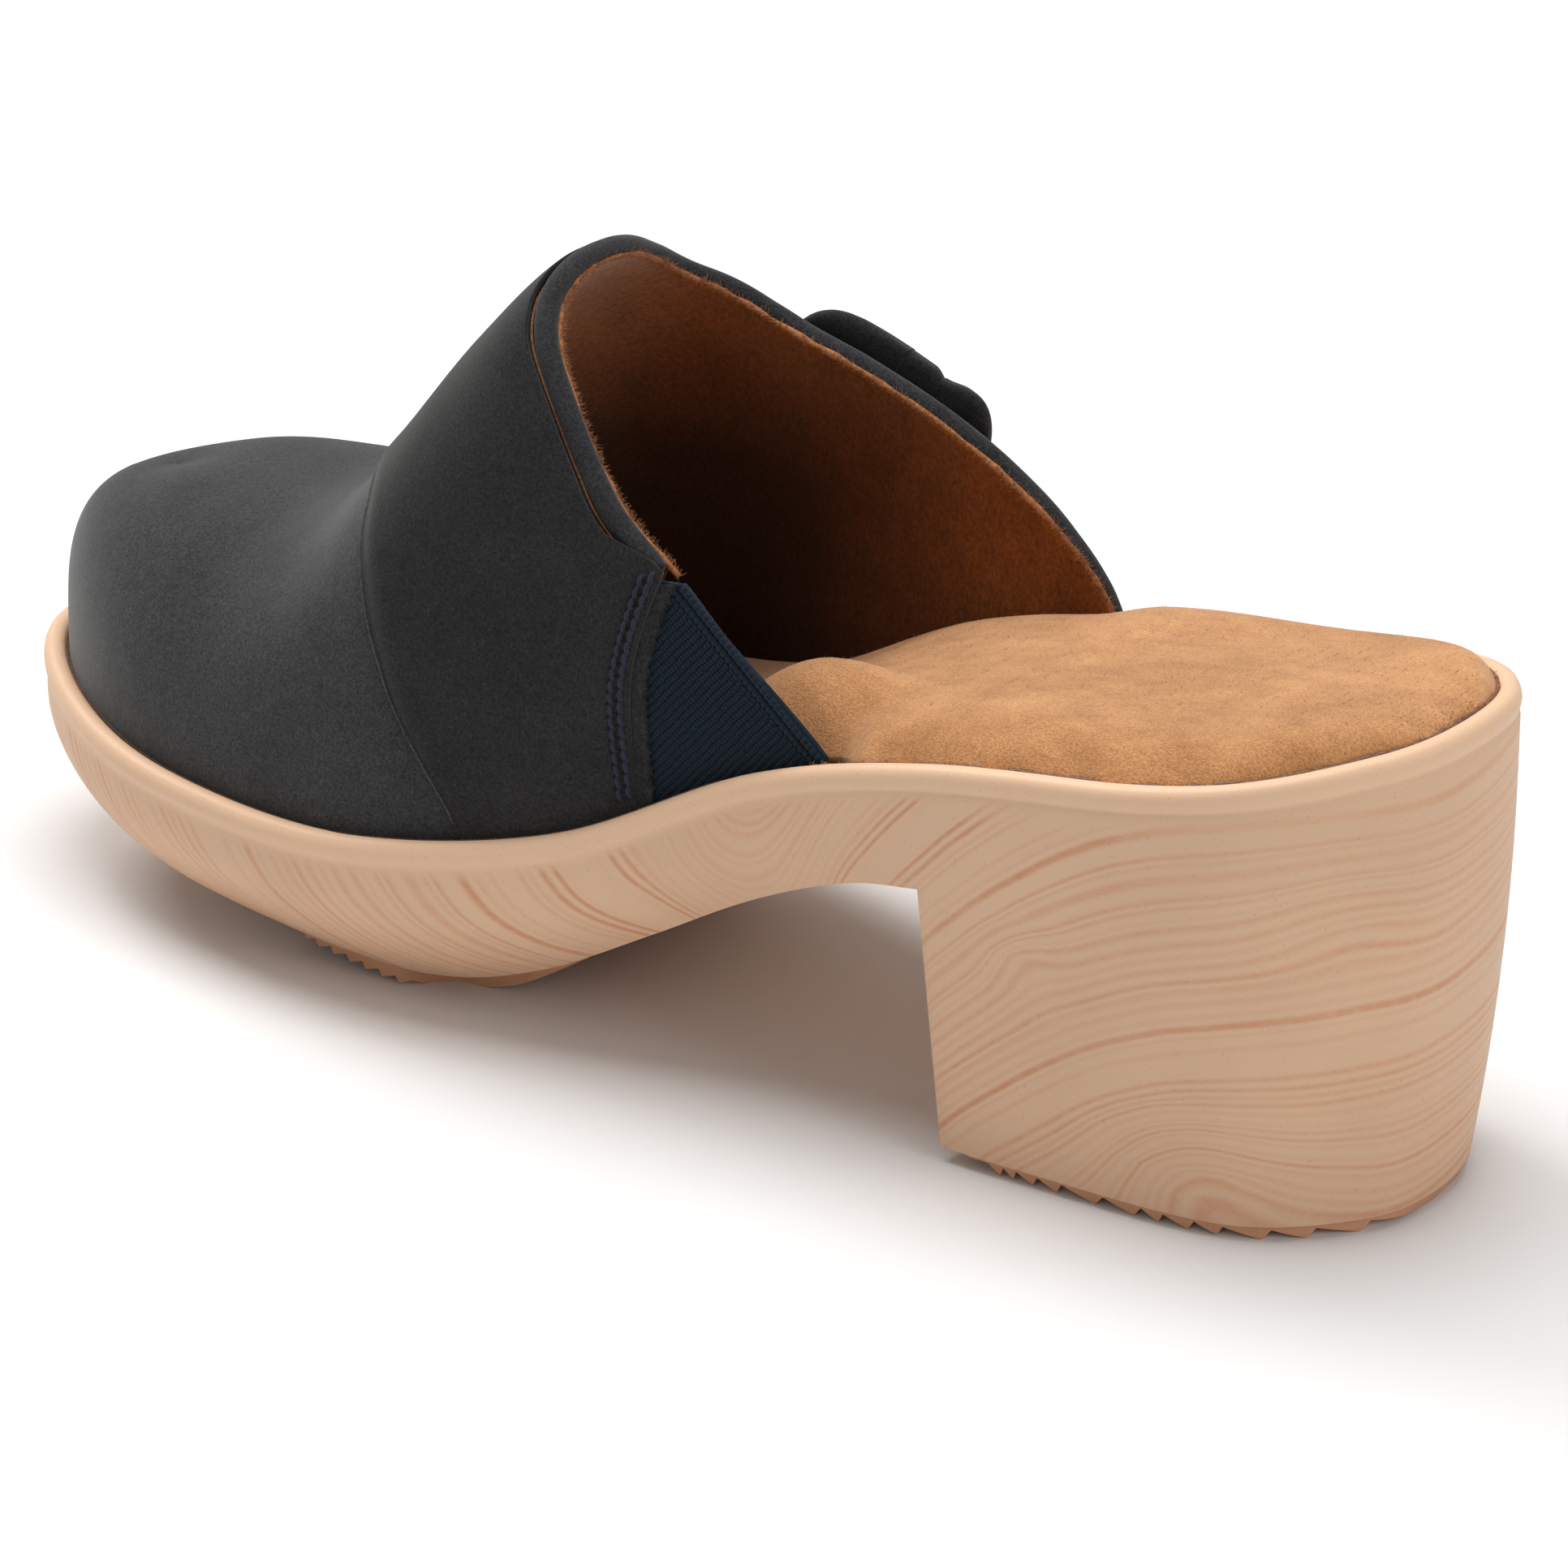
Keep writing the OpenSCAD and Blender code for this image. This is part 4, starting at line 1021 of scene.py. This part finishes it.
# ---- gore, facing and stitches ----
GORE_TOP = GORE_ANGLE - 2
RIB_PITCH = 1.05
RIB_HEIGHT = 0.62
BEAD = 0.62
STITCH_LENGTH = 1.95
STITCH_PITCH = 1.9
STITCH_LEAN = 0.12
gore_low = VAMP_THICK - 0.1 + GAP - 1.1
corner = surface_at(curve(GORE_TOP, COLLAR), GORE_TOP, gore_low)
foot = surface_at(curve(0.0, COLLAR), 0.0, gore_low)
along = (foot - corner) / np.linalg.norm(foot - corner)
face = surface_normal(np.array([-12.0]), np.array([14.0]), np.array([gore_low]))[0]
forward = np.cross(along, face)
forward /= np.linalg.norm(forward)
forward *= 1 if forward[0] > 0 else -1


def rib_height(p):
    """Oblique ribs of knit beads, with a double corded selvedge along the free edge."""
    rel = p - corner
    t = rel @ along
    w = rel @ forward
    rib = t / RIB_PITCH + 0.06 * np.sin(w * 1.1)
    row = np.floor(rib)
    arc = np.sqrt(np.clip(1 - (2 * (rib - row) - 1) ** 2, 0, 1))
    bead = 0.6 + 0.4 * np.abs(np.sin(math.pi * (w / BEAD + 0.37 * (row % 2) + 0.2 * np.sin(row * 2.3))))
    body = arc * bead * RIB_HEIGHT
    cord = np.sqrt(np.clip(1 - ((w - 0.6) / BEAD) ** 2, 0, 1)) * 0.7
    cord2 = np.sqrt(np.clip(1 - ((w - 1.9) / BEAD) ** 2, 0, 1)) * 0.6
    knot = 0.45 + 0.55 * np.abs(np.sin(math.pi * (t / RIB_PITCH + (w > 1.2) * 0.5)))
    edge = np.maximum(cord, cord2) * knot
    return np.where(w < 2.5, np.maximum(edge, 0.02), body)


gore_angles = np.concatenate([[-1, -0.5], np.linspace(0, GORE_TOP, 420)])
gore_shares = np.concatenate([np.linspace(0, 0.2, 12), np.linspace(0.21, 1, 230)])


def gore_grid(depth):
    return layer_grid(gore_angles, lambda a: curve(a, GORE_SEAM) + GORE_UNDERLAP - 2,
                      lambda a: curve(a, COLLAR), gore_shares, level(depth))


gore_out = gore_grid(gore_low + 0.25)
gore_in = gore_grid(gore_low + 1.1)
normals = unit(np.cross(np.gradient(gore_out, axis=1), np.gradient(gore_out, axis=0)))
normals *= np.sign((normals * face).sum(axis=-1, keepdims=True))
height = rib_height(gore_out.reshape(-1, 3)).reshape(gore_out.shape[:2])
gore = shell("elastic_gore_knit", gore_out + normals * height[..., None], gore_in)
piece(gore, "elastic_gore", m_elastic)

facing_angles = np.concatenate([[-1, -0.5], np.linspace(0, GORE_TOP - 0.6, 120)])


def facing_rear(a):
    return curve(a, GORE_SEAM) - 2.3 + 0.12 * np.sin(a * 3.1) + 0.08 * np.sin(a * 7.7)


def facing_grid(depth):
    return layer_grid(facing_angles, lambda a: curve(a, GORE_SEAM) + 6, facing_rear,
                      np.linspace(0, 1, 16), level(depth))


facing = shell("gore_facing_strip", facing_grid(-0.42), facing_grid(0.12))
piece(facing, "gore_facing", m_facing)
a, line, out = line_on_upper(0.5, GORE_TOP, 200, facing_rear, -0.1)
lint = fibres("gore_facing_fibres", line, out * 0.5 + np.array([-1.0, 0, 0]), 700, 0.7, 0.045)
piece(lint, "gore_facing", m_facing)


# A needle hole is a small flat near-black disc on the strap; its darkness is painted shade of the hole.
def needle_hole(centre, normal):
    side_way = np.cross(normal, along)
    rings = []
    for depth, size in ((0.0, 0.36), (0.05, 0.24)):
        ring = []
        for k in range(10):
            turn = 2 * math.pi * k / 10
            spoke = along * math.cos(turn) * 0.8 + side_way * math.sin(turn)
            ring.append(centre + normal * depth + spoke * size)
        rings.append(ring)
    return ring_part(rings)


def stitch_row(offset, radius):
    """Stitches and needle holes along the strap's edge; offset is from the seam."""
    fine = np.linspace(1.2, GORE_ANGLE - 0.6, 900)
    path = surface_at(curve(fine, GORE_SEAM) + offset, fine, strap_top(1.0, fine) - 0.05)
    run = np.concatenate([[0], np.cumsum(np.linalg.norm(np.diff(path, axis=0), axis=1))])
    threads = []
    holes = []
    for start in np.arange(0.3, run[-1] - STITCH_LENGTH, STITCH_PITCH):
        u = start + np.linspace(0, 1, 11) * STITCH_LENGTH
        a = np.interp(u, run, fine)
        bow = np.sin(np.linspace(0, math.pi, 11))
        lift = 0.24 * bow - 0.4 * (1 - bow) ** 3
        x = curve(a, GORE_SEAM) + offset + STITCH_LEAN * np.linspace(-0.5, 0.5, 11)
        middle = surface_at(x, a, strap_top(1.0, a) - lift)
        n = surface_normal(x, a, strap_top(1.0, a))
        thick = radius * (0.82 + 0.18 * bow)
        twist = 1 + 0.1 * np.sin(np.linspace(0, 5 * math.pi, 11))
        threads.append(ring_part(tube_rings(middle, n, thick * twist, thick, 10)))
        hole_a = np.interp(start - (STITCH_PITCH - STITCH_LENGTH) / 2, run, fine)
        hx = curve(hole_a, GORE_SEAM) + offset + 0.8
        top = surface_at(hx, hole_a, strap_top(1.0, hole_a) - 0.03)
        hn = surface_normal(np.array([hx]), np.array([hole_a]), np.array([0.0]))[0]
        holes.append(needle_hole(top, hn))
    return threads, holes


threads_a, holes_a = stitch_row(0.8, 0.4)
threads_b, holes_b = stitch_row(2.3, 0.37)
stitches = joined("gore_stitches", threads_a + threads_b)
piece(stitches, "gore_stitching", m_thread)
needle_holes = joined("gore_needle_holes", holes_a + holes_b)
piece(needle_holes, "gore_stitching", m_hole_shade)

# ---- bow ----
# [place along the bow, value] of the base x and the angle over the foot where it lies
BOW_X = [[-24, 21.5], [0, 0.5], [24, -18.7]]
BOW_ANGLE = [[-24, 130], [0, 142], [24, 155.8]]
BOW_SHIFT = 3.1
KNOT = 8.0
UPPER_LOOP = 19.5
LOWER_LOOP = 12.5
LOOP_WIDE = 23.0
LOOP_THICK = 5.6
STRAP_DEPTH = -1.5


def bow_place(d):
    x = curve(d + BOW_SHIFT, BOW_X)
    a = curve(d + BOW_SHIFT, BOW_ANGLE)
    return surface_at(x, a, STRAP_DEPTH + 0 * x), surface_normal(x, a, STRAP_DEPTH + 0 * x)


def bow_rings(d, half_wide, half_high, folds, lift=0.25):
    """Padded, creased sections that stand on the strap."""
    d = np.asarray(d, float)
    base, n = bow_place(d)
    ahead = unit(bow_place(d + 0.4)[0] - bow_place(d - 0.4)[0])
    n = square_to(n, ahead)
    across = np.cross(ahead, n)
    turn = np.linspace(0, 2 * math.pi, 64, endpoint=False)
    c = np.sign(np.cos(turn)) * np.abs(np.cos(turn)) ** 0.85
    s = np.sign(np.sin(turn)) * np.abs(np.sin(turn)) ** 0.9
    crease = 1 - folds[:, None] * (0.5 + 0.5 * np.sin(turn * 7 + 0.6 * np.sin(turn * 3))) ** 2
    w = (half_wide[:, None] * crease * c)[..., None]
    h = (half_high[:, None] * (1 + crease * s) + lift)[..., None]
    return base[:, None, :] + across[:, None, :] * w + n[:, None, :] * h


def make_loop(name, side, node):
    """One loop of the bow; side is 1 for the lower loop and -1 for the upper."""
    reach = LOWER_LOOP if side > 0 else UPPER_LOOP
    t = np.concatenate([np.linspace(0, 0.6, 22), 0.6 + 0.4 * np.sin(np.linspace(0.08, math.pi / 2, 22))])
    pull = 0.08 if side > 0 else 0.0
    swell = 1 - pull + pull * ease(t / 0.35)
    swell *= np.sqrt(np.maximum(1 - 0.97 * (np.maximum(t - 0.4, 0) / 0.6) ** 2.4, 0.02))
    folds = 0.04 * (1 - ease(t * reach / 8))
    d = side * (KNOT / 2 - 0.6 + t * (reach + 0.8))
    if side < 0:
        d, swell, folds = d[::-1], swell[::-1], folds[::-1]
    rings = bow_rings(d, LOOP_WIDE / 2 * swell, LOOP_THICK / 2 * swell, folds)
    made = sweep(name, rings)
    piece(made, node, m_strap)


make_loop("bow_upper_puff", -1, "bow_upper_loop")
make_loop("bow_lower_puff", 1, "bow_lower_loop")
t = np.linspace(-1, 1, 25)
pinch = 1 - 0.1 * ease((t - 0.2) / 0.8)
knot = sweep("bow_knot_wrap", bow_rings(t * KNOT / 2, 11.2 * pinch, 2.85 * pinch, 0.03 * (1 - t * t), 0.2))
piece(knot, "bow_knot", m_strap)

# ---- hidden parts that stay as they are in CAD ----
INSIDE = {
    "bottom_filler": plain("cork", tone(160, 118, 80), 0.8, scale=700, contrast=0.35),
    "shank": plain("spring_steel", tone(170, 172, 175), 0.32, metallic=1.0, scale=900, contrast=0.06),
    "shank_rivets": plain("rivet_brass", tone(190, 160, 100), 0.3, metallic=1.0, scale=900, contrast=0.08),
    "insole_board": plain("board", tone(150, 135, 112), 0.85, scale=800, contrast=0.2),
    "toe_puff": plain("puff_resin", tone(214, 210, 200), 0.6, scale=500, contrast=0.08),
}
for name, material in INSIDE.items():
    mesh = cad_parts[name].data
    mesh.materials.clear()
    mesh.materials.append(material)

# ---- stage ----
bpy.ops.mesh.primitive_plane_add(size=6)
floor = bpy.context.object
floor.name = "floor"
paper = Paint("studio_floor", 0.1, Roughness=0.9)
floor.data.materials.append(paper.done(paper.greys(paper.noise(3, 2), (0.3, 0.8), (0.7, 0.83))))


def softbox(name, place, size, power):
    lamp = bpy.data.lights.new(name, "AREA")
    lamp.shape = "DISK"
    lamp.size = size
    lamp.energy = power
    holder = bpy.data.objects.new(name, lamp)
    holder.location = place
    holder.rotation_euler = (Vector((0, 0, 0.05)) - Vector(place)).to_track_quat("-Z", "Y").to_euler()
    scene.collection.objects.link(holder)


softbox("top_box", (0.15, -0.1, 1.5), 1.3, 19)
softbox("toe_side_box", (1.4, -0.3, 1.3), 0.9, 17)
softbox("near_box", (-0.3, 1.6, 0.7), 1.0, 1.0)
softbox("heel_box", (-1.5, 0.1, 0.8), 0.9, 6)

world = bpy.data.worlds.new("studio_air")
world.use_nodes = True
air = world.node_tree.nodes["Background"]
air.inputs["Color"].default_value = (1, 1, 1, 1)
air.inputs["Strength"].default_value = 0.3
scene.world = world
scene.view_settings.view_transform = "Standard"

# ---- camera ----
AZIMUTH = math.radians(216.945)
ELEVATION = math.radians(24.078)
ROLL = math.radians(0.169)
DISTANCE = 1.3003
AIM_HEIGHT = 0.04
AIM_RIGHT = 0.004379
AIM_UP = -0.005787
back = Vector((math.sin(AZIMUTH) * math.cos(ELEVATION), -math.cos(AZIMUTH) * math.cos(ELEVATION),
               math.sin(ELEVATION)))
right = (-back).cross(Vector((0, 0, 1))).normalized()
upward = right.cross(-back)
aim = Vector((0, 0, AIM_HEIGHT)) + right * AIM_RIGHT + upward * AIM_UP
rolled_right = right * math.cos(ROLL) + upward * math.sin(ROLL)
rolled_up = upward * math.cos(ROLL) - right * math.sin(ROLL)
eye = bpy.data.cameras.new("camera")
eye.lens = 198.5
eye.sensor_width = 36
eye.clip_end = 50
camera = bpy.data.objects.new("camera", eye)
turn = Matrix((rolled_right, rolled_up, back)).transposed()
camera.matrix_world = Matrix.Translation(aim + back * DISTANCE) @ turn.to_4x4()
scene.collection.objects.link(camera)
scene.camera = camera
